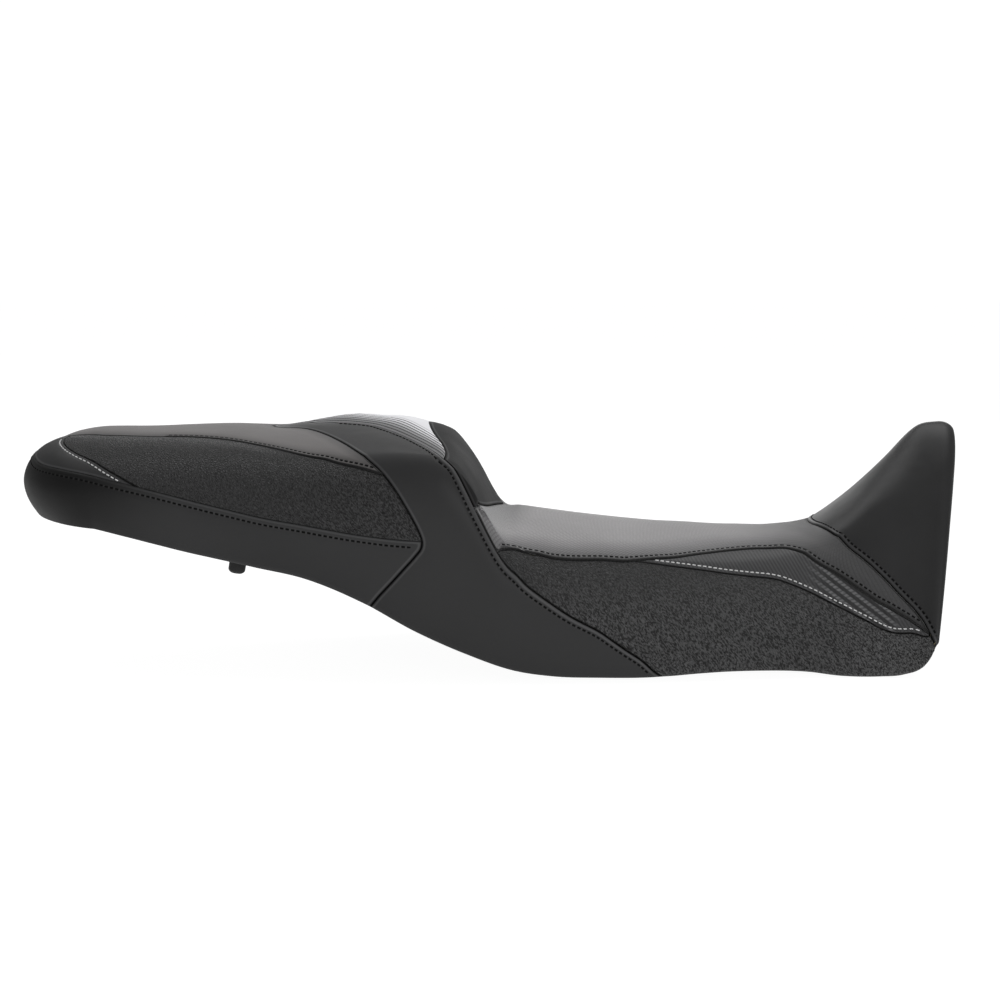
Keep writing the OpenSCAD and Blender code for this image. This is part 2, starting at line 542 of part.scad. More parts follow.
// cranked steel tongue that slides under the tank's bracket
tongue_back_x = 222;
tongue_bend_x = 252;
tongue_low_x = 302;
tongue_tip_x = 378;
tongue_low_z = 1.6;
tongue_pad_z = floor_z(tongue_bend_x) - plate - 0.4;
screw_x = 237;
screw_y = 15;
screw_r = 5.5;
screw_h = 3;
module front_tongue() {
    line = [[tongue_back_x, tongue_pad_z], [tongue_bend_x, tongue_pad_z],
        [tongue_low_x, tongue_low_z], [tongue_tip_x, tongue_low_z]];
    color([0.6, 0.6, 0.62])
    translate([0, tongue_width / 2, 0]) rotate([90, 0, 0]) linear_extrude(tongue_width)
    polygon(concat(line, [for (i = [3:-1:0]) line[i] + [0, plate]]));
}
module tongue_screw(y) {
    color([0.75, 0.75, 0.77])
    translate([screw_x, y, tongue_pad_z - screw_h - 0.1]) {
        cylinder(h = 1, r1 = screw_r - 1, r2 = screw_r);
        translate([0, 0, 1]) cylinder(h = screw_h - 1, r = screw_r);
    }
}
module tongue_screw_left() {
    tongue_screw(screw_y);
}
module tongue_screw_right() {
    tongue_screw(-screw_y);
}

// U-shaped bar that the frame's latch grips
striker_x = -255;
striker_half = 17;
striker_drop = 24;
module striker_plate() {
    color([0.6, 0.6, 0.62])
    under_floor(striker_x, 0)
    translate([-17, -32, -plate]) cube([34, 64, plate]);
}
module latch_striker() {
    color([0.72, 0.72, 0.74])
    under_floor(striker_x, 0)
    translate([0, 0, -plate - 0.1]) {
        for (y = [-striker_half, striker_half])
            translate([0, y, -striker_drop]) cylinder(h = striker_drop, r = striker_r);
        translate([0, -striker_half, -striker_drop]) rotate([-90, 0, 0])
            cylinder(h = 2 * striker_half, r = striker_r);
        for (y = [-striker_half, striker_half])
            translate([0, y, -striker_drop]) sphere(r = striker_r);
    }
}
module striker_nut(y) {
    color([0.75, 0.75, 0.77])
    under_floor(striker_x, y)
    translate([0, 0, -plate - 4.2]) cylinder(h = 4, r = 5, $fn = 6);
}
module striker_nut_left() {
    striker_nut(26.5);
}
module striker_nut_right() {
    striker_nut(-26.5);
}

seat_pan();
foam_core();
hem_strip();
hem_staples();
pillion_top_panel();
pillion_side_left();
pillion_side_right();
rear_wrap_panel();
rear_skirt_panel();
hump_side_left();
hump_side_right();
hump_top_insert();
lumbar_panel();
rider_top_panel();
rider_side_left();
rider_side_right();
rider_accent_left();
rider_accent_right();
nose_panel();
front_face_panel();
front_tongue();
tongue_screw_left();
tongue_screw_right();
striker_plate();
latch_striker();
striker_nut_left();
striker_nut_right();
bumper_rear_left();
bumper_rear_right();
bumper_middle_left();
bumper_middle_right();
bumper_front_left();
bumper_front_right();
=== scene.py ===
"""A dual motorcycle seat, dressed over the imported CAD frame: sewn cover panels with rolled edges
and stitches, foam, a ribbed pan, its fittings, and a studio. Lengths are in millimetres until a
mesh is made; +X is forward, +Y the rider's left, +Z up."""
import math

import bpy
import numpy as np
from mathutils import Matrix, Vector, noise


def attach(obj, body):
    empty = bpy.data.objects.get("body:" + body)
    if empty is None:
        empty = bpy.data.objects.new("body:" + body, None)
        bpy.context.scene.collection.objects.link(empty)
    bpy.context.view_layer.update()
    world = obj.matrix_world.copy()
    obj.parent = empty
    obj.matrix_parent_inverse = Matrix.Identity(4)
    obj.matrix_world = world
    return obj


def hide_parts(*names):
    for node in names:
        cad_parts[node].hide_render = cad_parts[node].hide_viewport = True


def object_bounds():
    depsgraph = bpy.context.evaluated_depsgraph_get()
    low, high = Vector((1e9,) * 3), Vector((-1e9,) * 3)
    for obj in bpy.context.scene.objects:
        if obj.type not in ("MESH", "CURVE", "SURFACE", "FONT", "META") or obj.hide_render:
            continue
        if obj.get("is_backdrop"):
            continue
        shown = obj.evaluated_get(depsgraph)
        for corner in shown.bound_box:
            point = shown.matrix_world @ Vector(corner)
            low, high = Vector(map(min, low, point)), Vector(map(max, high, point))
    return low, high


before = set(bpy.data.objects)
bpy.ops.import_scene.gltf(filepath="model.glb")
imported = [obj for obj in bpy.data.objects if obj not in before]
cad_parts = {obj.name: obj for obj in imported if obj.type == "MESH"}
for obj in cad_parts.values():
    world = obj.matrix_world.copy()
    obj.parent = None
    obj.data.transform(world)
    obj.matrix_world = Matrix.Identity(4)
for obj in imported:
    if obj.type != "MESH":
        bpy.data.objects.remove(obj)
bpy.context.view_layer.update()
MM = 0.001
TINY, FAR = 1e-12, 1e9
MIRROR = [1, -1, 1]
CHUNK = 4000         # points whose distance to a line is found in one go

# ------------------------------------------------------------------ the cover's shape
# Each table holds [station along X, value] and is the CAD source's own. Behind TAIL_X the last
# section is swept around the tail, and stations count degrees.
TAIL_X, TAIL_SQUASH, TAIL_RISE, TAIL_BACK = -325.0, 0.8, 0.1, -415.0
NOSE_X, NOSE_LEAN, LEAN_X, LEAN_Z, NOSE_ROUND = 366.0, 0.188, 230.0, 26.0, 12.0
CENTRE_FADE = 8.0    # nearer the centre line than this, the nose's rounding draws in less
SPINE, END_PLACE = 0.02, 0.995       # limits within which the cover's normals are taken
CENTRE_Z = [[-325, 196], [-280, 196.5], [-220, 198.5], [-175, 198.5], [-150, 202.5], [-120, 207],
            [-90, 206.5], [-70, 205.5], [-58, 203], [-48, 200.5], [-38, 197], [-30, 193],
            [-20, 181.5], [-10, 166.5], [0, 148], [8, 135.5], [15, 129], [25, 128], [60, 122.5],
            [110, 115.5], [160, 113.5], [210, 111.5], [245, 111.5], [272, 115.5], [300, 138.5],
            [325, 172.5], [342, 197.5], [354, 201], [366, 202]]
SHOULDER_Y = [[-325, 76], [-260, 86], [-180, 96], [-120, 106], [-80, 112], [-45, 116], [0, 115],
              [40, 110], [100, 100], [160, 86], [220, 72], [270, 58], [310, 46], [366, 40]]
SHOULDER_Z = [[-325, 175], [-280, 178], [-220, 178], [-160, 177], [-120, 180], [-90, 183],
              [-65, 184], [-48, 183], [-36, 180], [-28, 174], [-17, 161], [-6, 142], [3, 125],
              [12, 112], [25, 106], [60, 100], [110, 96], [160, 92], [210, 90], [250, 94],
              [280, 104], [310, 130], [340, 154], [366, 168]]
BOTTOM_Y = [[-325, 74], [-300, 82], [-200, 106], [-120, 116], [0, 121], [60, 122], [130, 119],
            [200, 109], [260, 102], [310, 100], [366, 110]]
BOTTOM_Z = [[-325, 117], [-250, 102], [-190, 91], [-150, 83], [-100, 63], [-60, 41], [-20, 23],
            [20, 9], [50, 4.5], [90, 3], [135, 3], [170, 5], [220, 6], [260, 4.5], [290, 0.8],
            [320, 0.8], [340, 3.5], [352, 9], [366, 30]]
SHOULDER_SLOPE = [[-325, 42], [-200, 45], [-120, 42], [-60, 42], [-20, 45], [40, 48], [100, 50],
                  [200, 50], [280, 52], [366, 60]]
PULL_IN = [[-325, 20], [-150, 18], [-70, 16], [-45, 7], [10, 7], [30, 13], [200, 15], [300, 18],
           [366, 18]]
PULL_OUT = [[-325, 28], [-150, 34], [-50, 40], [0, 40], [60, 40], [150, 34], [250, 30], [366, 30]]
PULL_CENTRE = [[-325, 22], [-150, 20], [-70, 18], [-45, 12], [15, 12], [40, 18], [100, 18],
               [200, 16], [300, 14], [366, 14]]
PULL_BOTTOM = [[-325, 26], [-150, 34], [0, 50], [100, 34], [200, 30], [300, 30], [366, 40]]
BOTTOM_LEAN = [[-325, 45], [-280, 20], [-200, 0], [-100, -6], [0, -2], [100, 4], [200, 0],
               [300, -14], [366, -20]]

# Seams: the first kind gives the place around the section (0 centre line, 0.5 shoulder, 1 bottom
# edge) for a station, the second kind the station for a place.
PILLION_EDGE = [[-415, 0.3], [-405, 0.293], [-390, 0.255], [-375, 0.226], [-340, 0.198],
                [-317, 0.212], [-283, 0.248], [-241, 0.273], [-214, 0.306], [-177, 0.373],
                [-141, 0.474], [-123, 0.521], [-106, 0.549], [-83.5, 0.585]]
SKIRT_EDGE = [[-415, 0.49], [-398, 0.51], [-367, 0.56], [-348, 0.572], [-328, 0.593],
              [-307, 0.638], [-285, 0.677], [-260, 0.71], [-233, 0.738], [-206, 0.76],
              [-179, 0.777], [-138, 0.789], [-98, 0.785], [-57, 0.762], [-53.5, 0.76]]
RIDER_EDGE = [[6.5, 0.572], [11, 0.53], [17, 0.506], [26, 0.497], [36, 0.492], [45, 0.504],
              [52, 0.51], [60, 0.51], [90, 0.503], [115, 0.503], [137, 0.471], [152, 0.451],
              [173, 0.406], [202, 0.362], [230, 0.37], [248, 0.412], [256, 0.472], [268, 0.558],
              [281, 0.628], [299, 0.722], [313, 0.777], [328, 0.819], [342, 0.858], [351, 0.889],
              [357, 0.922]]
ACCENT_EDGE = [[124, 0.502], [158, 0.521], [185, 0.539], [213, 0.565], [238, 0.60], [254, 0.65],
               [266, 0.689], [277, 0.727], [288, 0.764], [299, 0.80], [310, 0.83], [321, 0.858],
               [329, 0.872], [336, 0.879], [347, 0.893], [357, 0.925]]
WRAP_SEAM = [[0.255, -390], [0.297, -383], [0.374, -358], [0.472, -331], [0.58, -308],
             [0.677, -285]]
ARROW_SEAM = [[0, -186], [0.09, -177.5], [0.126, -166], [0.164, -156], [0.209, -146],
              [0.263, -136], [0.32, -126], [0.377, -116.5], [0.445, -107], [0.516, -97.5],
              [0.558, -88.8], [0.585, -83.5], [0.623, -76.5], [0.673, -67.5], [0.717, -59.5],
              [0.745, -55], [0.76, -53.5], [0.78, -54.5], [0.802, -59], [0.843, -68], [0.893, -78],
              [0.945, -87.5], [1, -96]]
INSERT_SEAM = [[0, -159], [0.06, -153], [0.111, -144.5], [0.144, -130], [0.174, -115],
               [0.2, -100.5], [0.25, -86], [0.306, -71.5], [0.355, -57], [0.4, -46], [0.48, -35.5]]
CREST_SEAM = [[0, -51.5], [0.083, -50.8], [0.155, -48.5], [0.234, -43.5], [0.286, -38.5],
              [0.344, -35.2], [0.48, -35.5]]
HUMP_SEAM = [[0.48, -35.5], [0.51, -25], [0.538, -17], [0.555, -9.5], [0.563, -2], [0.572, 6.5],
             [0.6, 18.5], [0.645, 30], [0.684, 42], [0.754, 65.5], [0.807, 88.5], [0.842, 99],
             [0.878, 109.5], [0.92, 122], [0.974, 133.5], [1, 140]]
LUMBAR_FOOT = [[0, 12.5], [0.063, 11.2], [0.15, 7.2], [0.292, 0.5], [0.42, -5], [0.52, -8.3],
               [0.55, -9.5]]
NOSE_SEAM = [[0, 271], [0.13, 272], [0.25, 275.5], [0.37, 280], [0.49, 286], [0.6, 296],
             [0.69, 311], [0.766, 327], [0.865, 350], [0.925, 357], [1, 363.5]]
# height of the pan's floor above its rim, between straight runs
FLOOR_LIFT = [[-325, 0], [-300, 0], [-280, 15], [-60, 18], [60, 22], [270, 22], [315, 14],
              [345, 0], [366, 0]]


def curve(rows, at):
    """The smooth curve through a table's points."""
    x, y = np.asarray(rows, float).T
    gap = np.diff(x)
    rate = np.diff(y) / gap
    inner = (rate[:-1] * gap[1:] + rate[1:] * gap[:-1]) / (gap[:-1] + gap[1:])
    slope = np.concatenate([rate[:1], inner, rate[-1:]])
    at = np.clip(at, x[0], x[-1])
    i = np.clip(np.searchsorted(x, at, side="right") - 1, 0, len(x) - 2)
    t = (at - x[i]) / gap[i]
    return ((2 * t**3 - 3 * t**2 + 1) * y[i] + (t**3 - 2 * t**2 + t) * gap[i] * slope[i]
            + (3 * t**2 - 2 * t**3) * y[i + 1] + (t**3 - t**2) * gap[i] * slope[i + 1])


def bezier(p, t):
    r = 1 - t
    return r**3 * p[0] + 3 * r * r * t * p[1] + 3 * r * t * t * p[2] + t**3 * p[3]


def bezier_rate(p, t):
    r = 1 - t
    return 3 * r * r * (p[1] - p[0]) + 6 * r * t * (p[2] - p[1]) + 3 * t * t * (p[3] - p[2])


def roll(d, radius):
    """How far an edge of this radius falls away, at a distance d from its end."""
    e = np.clip(radius - d, 0, radius)
    return radius - np.sqrt(radius**2 - e**2)


def section(u, w):
    """Half width and height of the cover at station u and place w around the section."""
    top, y, z = curve(CENTRE_Z, u), curve(SHOULDER_Y, u), curve(SHOULDER_Z, u)
    low_y, low_z = curve(BOTTOM_Y, u), curve(BOTTOM_Z, u)
    slope, lean = np.radians(curve(SHOULDER_SLOPE, u)), np.radians(curve(BOTTOM_LEAN, u))
    into, out, centre, low = (curve(t, u) for t in (PULL_IN, PULL_OUT, PULL_CENTRE, PULL_BOTTOM))
    c, s = np.cos(slope), np.sin(slope)
    upper = (0, centre, y - into * c, y), (top, top, z + into * s, z)
    lower = ((y, y + out * c, low_y + low * np.sin(lean), low_y),
             (z, z - out * s, low_z + low * np.cos(lean), low_z))
    a, b = np.clip(2 * w, 0, 1), np.clip(2 * w - 1, 0, 1)
    (py, dy), (pz, dz) = ([np.where(w < 0.5, kind(above, a), kind(below, b))
                           for kind in (bezier, bezier_rate)]
                          for above, below in zip(upper, lower))
    size = np.hypot(dy, dz)
    r = roll(NOSE_X - u, NOSE_ROUND)
    return py + r * dz / size * np.clip(py / CENTRE_FADE, 0, 1), pz - r * dy / size


def cover(q, v):
    """Points on the outside of the cover. v is negative on the right; stations that run on past
    the middle of the tail are on the left."""
    q, v = np.broadcast_arrays(np.asarray(q, float), np.asarray(v, float))
    a, v = around_tail(q), np.where(q < TAIL_BACK, -v, v)
    u, w, turn = np.maximum(a, TAIL_X), np.abs(v), np.radians(np.clip(TAIL_X - a, 0, 180))
    y, z = section(u, w)
    back = y * TAIL_SQUASH * np.sin(turn)
    z = z + TAIL_RISE * w**1.5 * back
    lean = NOSE_LEAN * np.clip((u - LEAN_X) / (NOSE_X - LEAN_X), 0, 1) ** 1.5
    side = np.where(v < 0, -1, 1)
    return np.stack([u - back + lean * (z - LEAN_Z), side * y * np.cos(turn), z], -1)


def opposite(q):
    """The station on the other side of the tail's middle."""
    return 2 * TAIL_BACK - q


def around_tail(q):
    """The right-hand station that stands for q past the middle of the tail."""
    return np.maximum(q, opposite(q))


def unit(x):
    return x / np.maximum(np.linalg.norm(x, axis=-1, keepdims=True), TINY)


def outward(q, v):
    """Outward normals of the cover."""
    q, v = np.broadcast_arrays(np.asarray(q, float), np.asarray(v, float))
    q = np.where((np.abs(v) < SPINE) & (q < TAIL_X), TAIL_X, q)
    v = np.clip(v, -END_PLACE, END_PLACE)
    dq, dv = np.where(q > NOSE_X - 1, -0.5, 0.5), np.where(v > 0.99, -0.004, 0.004)
    p = cover(q, v)
    n = np.cross(cover(q + dq, v) - p, cover(q, v + dv) - p)
    return unit(n * np.sign(dq * dv)[..., None])


def chart_lengths():
    """Lengths on the cover from the centre line and from the tail, on a grid of stations and
    places, so that a weave keeps its scale."""
    q = np.concatenate([np.linspace(TAIL_BACK, TAIL_X, 19)[:-1], np.linspace(TAIL_X, NOSE_X, 140)])
    w = np.linspace(0, 1, 81)
    p = cover(q[:, None], w[None, :])

    def lengths(axis):
        steps = np.cumsum(np.linalg.norm(np.diff(p, axis=axis), axis=2), axis=axis)
        return np.concatenate([np.zeros_like(steps.take([0], axis)), steps], axis)

    return q, w, lengths(0), lengths(1)


CHART = chart_lengths()


def lookup(grid, q, w):
    """A value between the points of one of the chart's grids."""
    qs, ws = CHART[0], CHART[1]
    i = np.clip(np.searchsorted(qs, q, side="right") - 1, 0, len(qs) - 2)
    f = np.clip((q - qs[i]) / (qs[i + 1] - qs[i]), 0, 1)
    x = np.clip(w, 0, 1) * (len(ws) - 1)
    j = np.clip(x.astype(int), 0, len(ws) - 2)
    g = x - j
    return ((1 - f) * (1 - g) * grid[i, j] + f * (1 - g) * grid[i + 1, j]
            + (1 - f) * g * grid[i, j + 1] + f * g * grid[i + 1, j + 1])


def cloth_place(q, v):
    """Where a point lies on the flat cloth: length along the seat, and signed length around it."""
    a = around_tail(q)
    along, around = lookup(CHART[2], a, np.abs(v)), lookup(CHART[3], a, np.abs(v))
    return np.stack([np.where(q < TAIL_BACK, -along, along), np.sign(v) * around], -1)


# ------------------------------------------------------------------ meshes
def enclosed(points, faces):
    """Six times the volume inside the faces, negative where they face inwards."""
    total = 0.0
    for size in (3, 4):
        group = np.array([face for face in faces if len(face) == size])
        for k in range(1, size - 1 if len(group) else 0):
            a, b, c = (points[group[:, i]] for i in (0, k, k + 1))
            total += (a * np.cross(b, c)).sum()
    return total


def make(name, points, faces, material, slot, nodes=(), smooth=True, values=None):
    """One piece from points in millimetres. It rides on the seat's body."""
    points = np.asarray(points, float)
    if enclosed(points, faces) < 0:
        faces = [face[::-1] for face in faces]
    mesh = bpy.data.meshes.new(name)
    mesh.from_pydata((points * MM).tolist(), [], faces)
    mesh.polygons.foreach_set("use_smooth", [smooth] * len(mesh.polygons))
    for key, value in (values or {}).items():
        kind = "FLOAT_VECTOR" if value.ndim == 2 else "FLOAT"
        attribute = mesh.attributes.new(key, kind, "POINT")
        attribute.data.foreach_set("vector" if value.ndim == 2 else "value",
                                   value.astype(np.float32).ravel())
    mesh.validate()
    mesh.update()
    piece = bpy.data.objects.new(name, mesh)
    bpy.context.scene.collection.objects.link(piece)
    mesh.materials.append(material)
    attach(piece, "root")
    if nodes:
        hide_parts(*nodes)
    return piece


def grid_faces(n, m, start=0, flip=False):
    k = start + np.arange(n - 1)[:, None] * m + np.arange(m - 1)[None, :]
    quads = np.stack([k, k + 1, k + m + 1, k + m], -1).reshape(-1, 4)
    return (quads[:, ::-1] if flip else quads).tolist()


def shell_faces(n, m, flip):
    """Faces of a closed shell: an outer grid, an inner grid after it, and the rim between."""
    rim = np.concatenate([np.arange(m - 1), np.arange(n - 1) * m + m - 1,
                          np.arange(n * m - 1, (n - 1) * m, -1), np.arange((n - 1) * m, 0, -m)])
    after = np.roll(rim, -1)
    sides = np.stack([rim, rim + n * m, after + n * m, after], -1)
    return (grid_faces(n, m, 0, flip) + grid_faces(n, m, n * m, not flip)
            + (sides[:, ::-1] if flip else sides).tolist())


def ring_faces(n, m, ends):
    """Faces between n closed rings of m points. ends says how they close: "tips" by a fan to each
    of two points after the rings, "flat" by a face at either end, "joined" last ring to first."""
    faces = [[(k + dk) % n * m + (i + di) % m for dk, di in ((0, 0), (0, 1), (1, 1), (1, 0))]
             for k in range(n if ends == "joined" else n - 1) for i in range(m)]
    first, last = list(range(m)), list(range((n - 1) * m, n * m))
    if ends == "tips":
        for tip, ring in ((n * m, first[::-1]), (n * m + 1, last)):
            faces += [[tip, ring[i - 1], ring[i]] for i in range(m)]
    if ends == "flat":
        faces += [first[::-1], last]
    return faces


def spacing(length, coarse=2.3, fine=0.45, growth=1.32):
    """Shares of a length, close together at both ends."""
    near = [0.0]
    step = fine
    while step < coarse and near[-1] < length / 2 - coarse:
        near.append(near[-1] + step)
        step *= growth
    near = np.array(near)
    middle = np.linspace(near[-1], length - near[-1],
                         max(2, int(round((length - 2 * near[-1]) / coarse))) + 1)
    return np.concatenate([near[:-1], middle, (length - near[:-1])[::-1]]) / length


def edge_distance(points, line):
    """Distance from each point to a line of points, and the length along the line to there."""
    length = np.concatenate([[0], np.cumsum(np.linalg.norm(np.diff(line, axis=0), axis=1))])
    best, along = np.full(len(points), FAR), np.zeros(len(points))
    for start in range(0, len(points), CHUNK):
        part = slice(start, start + CHUNK)
        p = points[part]
        near = np.argmin((line**2).sum(1)[None, :] - 2 * p @ line.T, 1)
        for shift in (-1, 0):
            i = np.clip(near + shift, 0, len(line) - 2)
            d = line[i + 1] - line[i]
            t = np.clip(((p - line[i]) * d).sum(1) / np.maximum((d**2).sum(1), TINY), 0, 1)
            gap = np.linalg.norm(p - line[i] - t[:, None] * d, axis=1)
            better = gap < best[part]
            best[part][better] = gap[better]
            along[part][better] = mix(length[i], length[i + 1], t)[better]
    return best, along


EDGE_ROUND = {"seam": 1.4, "lap": 0.5, "hem": 3.2}     # radius of each kind of edge
SEAM_DIP, DIP_REACH = 0.7, 7.0       # how far the cover is pulled in at a seam, and around it
LAP_DIP, LAP_GAP = 0.3, 0.8          # a lap's share of that dip; it counts as this much further off
PUFF_REACH = 12.0    # from a seam to where a panel stands at its full lift
CALM_REACH, CALM = 20.0, 0.15        # near a seam the waviness fades to this share of itself
LEAST = 0.7          # least thickness of a panel
ROW_FADE = 3.0       # length over which a row of stitches begins or ends
FAR_OFF = 99.0       # the distance given where no row of stitches or no seam is near
LINING = 2.5         # depth of the inside of the cover
FURROW = 0.3         # depth of the furrow under a row of topstitches
FURROW_WIDTH = 1.2
RIDGE = 0.45         # how far the cloth swells between a seam and its row of stitches
PITCH = 4.5          # from one stitch to the next
STITCH = {"white": (1.3, 0.56), "black": (1.2, 0.42)}    # from a hole to the thread; its radius


def furrow(offset, along):
    """The furrow of a row of stitches, deeper where the thread goes in."""
    hole = np.abs((along / PITCH) % 1 - 0.5) * 2      # 0 at a hole, 1 in the middle of a stitch
    return np.exp(-(offset / FURROW_WIDTH) ** 2) * FURROW * (0.8 + 0.8 * np.exp(-(hole / 0.4) ** 2))


def unevenness(points):
    """The slight waviness of a cover stretched over foam."""
    broad = np.array([noise.noise(Vector(p / 34)) for p in points])
    fine = np.array([noise.noise(Vector(p / 11 + 7)) for p in points])
    return 0.42 * broad + 0.1 * fine


def panel(name, chart, size, edges, material, slot, stitches=(), mirrored=False, lift=0.0,
          lines=None):
    """A sewn panel as a closed shell. edges gives 'seam', 'lap' or 'hem' for back, front, low and
    high; stitches lists (edge, (share, distance from the edge) pairs, from share, to share,
    thread); the weave of an insert follows the edge named by lines."""
    s, t = spacing(size[0]), spacing(size[1])
    place = chart(s, t)
    q, v = place[..., 0], place[..., 1]
    base, normal = cover(q, v), outward(q, v)
    corner = base[:-1, :-1]
    flip = (np.cross(base[1:, :-1] - corner, base[:-1, 1:] - corner) * normal[:-1, :-1]).sum() > 0
    flat = base.reshape(-1, 3)
    sides = {"back": base[0], "front": base[-1], "low": base[:, 0], "high": base[:, -1]}
    found = {edge: edge_distance(flat, line) for edge, line in sides.items()}
    drop, dip, nearest = np.zeros(len(flat)), np.zeros(len(flat)), np.full(len(flat), FAR)
    for edge, kind in edges.items():
        d = found[edge][0]
        drop = np.maximum(drop, roll(d, EDGE_ROUND[kind]))
        if kind != "hem":
            share, further = (LAP_DIP, LAP_GAP) if kind == "lap" else (1, 0)
            dip = np.maximum(dip, SEAM_DIP * share * np.exp(-d / DIP_REACH))
            nearest = np.minimum(nearest, d + further)
    drop = drop + dip - lift * np.clip(nearest / PUFF_REACH, 0, 1)
    row = np.tile([FAR_OFF, 0, 0], (len(flat), 1))
    if lines:
        row = np.stack([*found[lines], np.ones(len(flat))], 1)
    for edge, distances, start, stop, thread in stitches:
        d, along = found[edge]
        total = along.max()
        share = along / total
        inside = np.clip((share - start) * total / ROW_FADE, 0, 1) \
            * np.clip((stop - share) * total / ROW_FADE, 0, 1)
        distance = np.interp(share, *np.transpose(distances))
        swell = RIDGE * np.sin(np.pi * np.clip(d / distance, 0, 1))
        drop = drop + inside * (furrow(d - distance, along) - swell)
        here = (np.abs(d - distance) < np.abs(row[:, 0])) & (inside > 0)
        row[here] = np.stack([d - distance, along, inside], 1)[here]
    drop = drop + unevenness(flat) * np.clip(nearest / CALM_REACH, CALM, 1)
    up = normal.reshape(-1, 3)
    outer = flat - drop[:, None] * up
    points = np.concatenate([outer, flat - np.maximum(LINING, drop + LEAST)[:, None] * up])
    cloth = cloth_place(q, v).reshape(-1, 2)
    chart_value = np.concatenate([cloth, np.minimum(nearest, FAR_OFF)[:, None]], 1) * MM
    values = {"cloth": np.tile(chart_value, (2, 1)), "row": np.tile(row * [MM, MM, 1], (2, 1))}
    if mirrored:
        points, values["cloth"] = points * MIRROR, values["cloth"] * MIRROR
    faces = shell_faces(len(s), len(t), bool(flip) != mirrored)
    make(name, points, faces, material, slot, [name], values=values)
    for k, (edge, *stitching) in enumerate(stitches):
        gap, along = (grid.reshape(base.shape[:2]) for grid in found[edge])
        sew(f"{name}_stitches_{k + 1}", edge, outer.reshape(base.shape), normal, gap, along,
            *stitching, mirrored)


def capsules(ends, radius, up, rings=5, sides=8):
    """Closed rounded rods between pairs of points, as one list of points and faces."""
    a, b = ends[:, 0], ends[:, 1]
    along = unit(b - a)
    across = unit(np.cross(up, along))
    upright = np.cross(along, across)
    turn = np.arange(sides) * 2 * np.pi / sides
    around = across[:, None, :] * np.cos(turn)[None, :, None] \
        + upright[:, None, :] * np.sin(turn)[None, :, None]
    angles = np.linspace(0, np.pi, rings * 2)[1:-1]
    body = [(a if k < rings - 1 else b)[:, None, :] - along[:, None, :] * radius * math.cos(angle)
            + around * radius * math.sin(angle) for k, angle in enumerate(angles)]
    tips = np.stack([a - along * radius, b + along * radius], 1)
    points = np.concatenate(body + [tips], 1)
    faces, per = ring_faces(len(angles), sides, "tips"), points.shape[1]
    return points.reshape(-1, 3), [[x + k * per for x in f] for k in range(len(a)) for f in faces]


THREADS = {}         # materials of the threads, by colour


def sew(name, edge, surface, up, gap, along, distances, start, stop, thread, mirrored):
    """A row of stitches on a panel's surface beside one of its edges. gap and along hold every
    point's distance from the edge and its length along it."""
    def from_edge(grid):
        grid = np.swapaxes(grid, 0, 1) if edge in ("back", "front") else grid
        return grid[:, ::-1] if edge in ("high", "front") else grid

    surface, up, gap, along = (from_edge(grid) for grid in (surface, up, gap, along))
    data = np.concatenate([along[..., None], surface, up], -1)
    total = along.max()
    row = []
    for k, distance in enumerate(np.interp(along[:, 0] / total, *np.transpose(distances))):
        j = int(np.argmax(gap[k] >= distance))
        if j:
            f = (distance - gap[k, j - 1]) / (gap[k, j] - gap[k, j - 1])
            row.append(mix(data[k, j - 1], data[k, j], f))
    row = np.array(sorted(row, key=lambda point: point[0]))
    first = math.ceil(max(start * total, row[0, 0]) / PITCH - 0.5)
    last = math.floor(min(stop * total, row[-1, 0]) / PITCH - 0.5)
    holes = (np.arange(first, last) + 0.5) * PITCH
    inset, radius = STITCH[thread]
    ends = [np.stack([np.interp(holes + shift, row[:, 0], row[:, c]) for c in range(1, 7)], -1)
            for shift in (inset, PITCH - inset)]
    up = unit(ends[0][:, 3:])
    ends = np.stack([end[:, :3] + up * radius * 0.5 for end in ends], 1)
    if mirrored:
        ends, up = ends * MIRROR, up * MIRROR
    points, faces = capsules(ends, radius, up)
    make(name, points, faces, THREADS[thread], None)


def coons(s, t, low, high, back, front):
    """A four-sided patch between two edges along X and two edges across."""
    s3, t3 = s[:, None, None], t[None, :, None]
    low_ends, high_ends = (edge(np.array([0.0, 1.0])) for edge in (low, high))
    return ((1 - t3) * low(s)[:, None] + t3 * high(s)[:, None]
            + (1 - s3) * back(t)[None] + s3 * front(t)[None]
            - (1 - s3) * (1 - t3) * low_ends[0] - s3 * (1 - t3) * low_ends[1]
            - (1 - s3) * t3 * high_ends[0] - s3 * t3 * high_ends[1])


def pair(a, b):
    a, b = np.broadcast_arrays(a, b)
    return np.stack([a, b], -1)


def mix(a, b, t):
    return a + (b - a) * t


def ease(x):
    """A smooth step from 0 to 1."""
    x = np.clip(x, 0, 1)
    return x * x * (3 - 2 * x)


# ------------------------------------------------------------------ materials
class Value:
    """What one node of a material hands to the next."""

    def __init__(self, shader, socket):
        self.shader, self.socket = shader, socket

    def __add__(self, other):
        return self.shader.math("ADD", self, other)

    def __sub__(self, other):
        return self.shader.math("SUBTRACT", self, other)

    def __rsub__(self, other):
        return self.shader.math("SUBTRACT", other, self)

    def __mul__(self, other):
        return self.shader.math("MULTIPLY", self, other)

    def __truediv__(self, other):
        return self.shader.math("DIVIDE", self, other)

    def __abs__(self):
        return self.shader.math("ABSOLUTE", self)

    def stripes(self, pitch):
        """0.5 on lines that are a pitch apart, and 0 midway between them."""
        return abs(self.shader.math("FRACT", self / pitch) - 0.5)

    def ramp(self, low, high, low_out=0.0, high_out=1.0):
        """A smooth step from low_out to high_out between low and high."""
        return self.shader.through("ShaderNodeMapRange", (self, low, high, low_out, high_out),
                                   interpolation_type="SMOOTHSTEP")


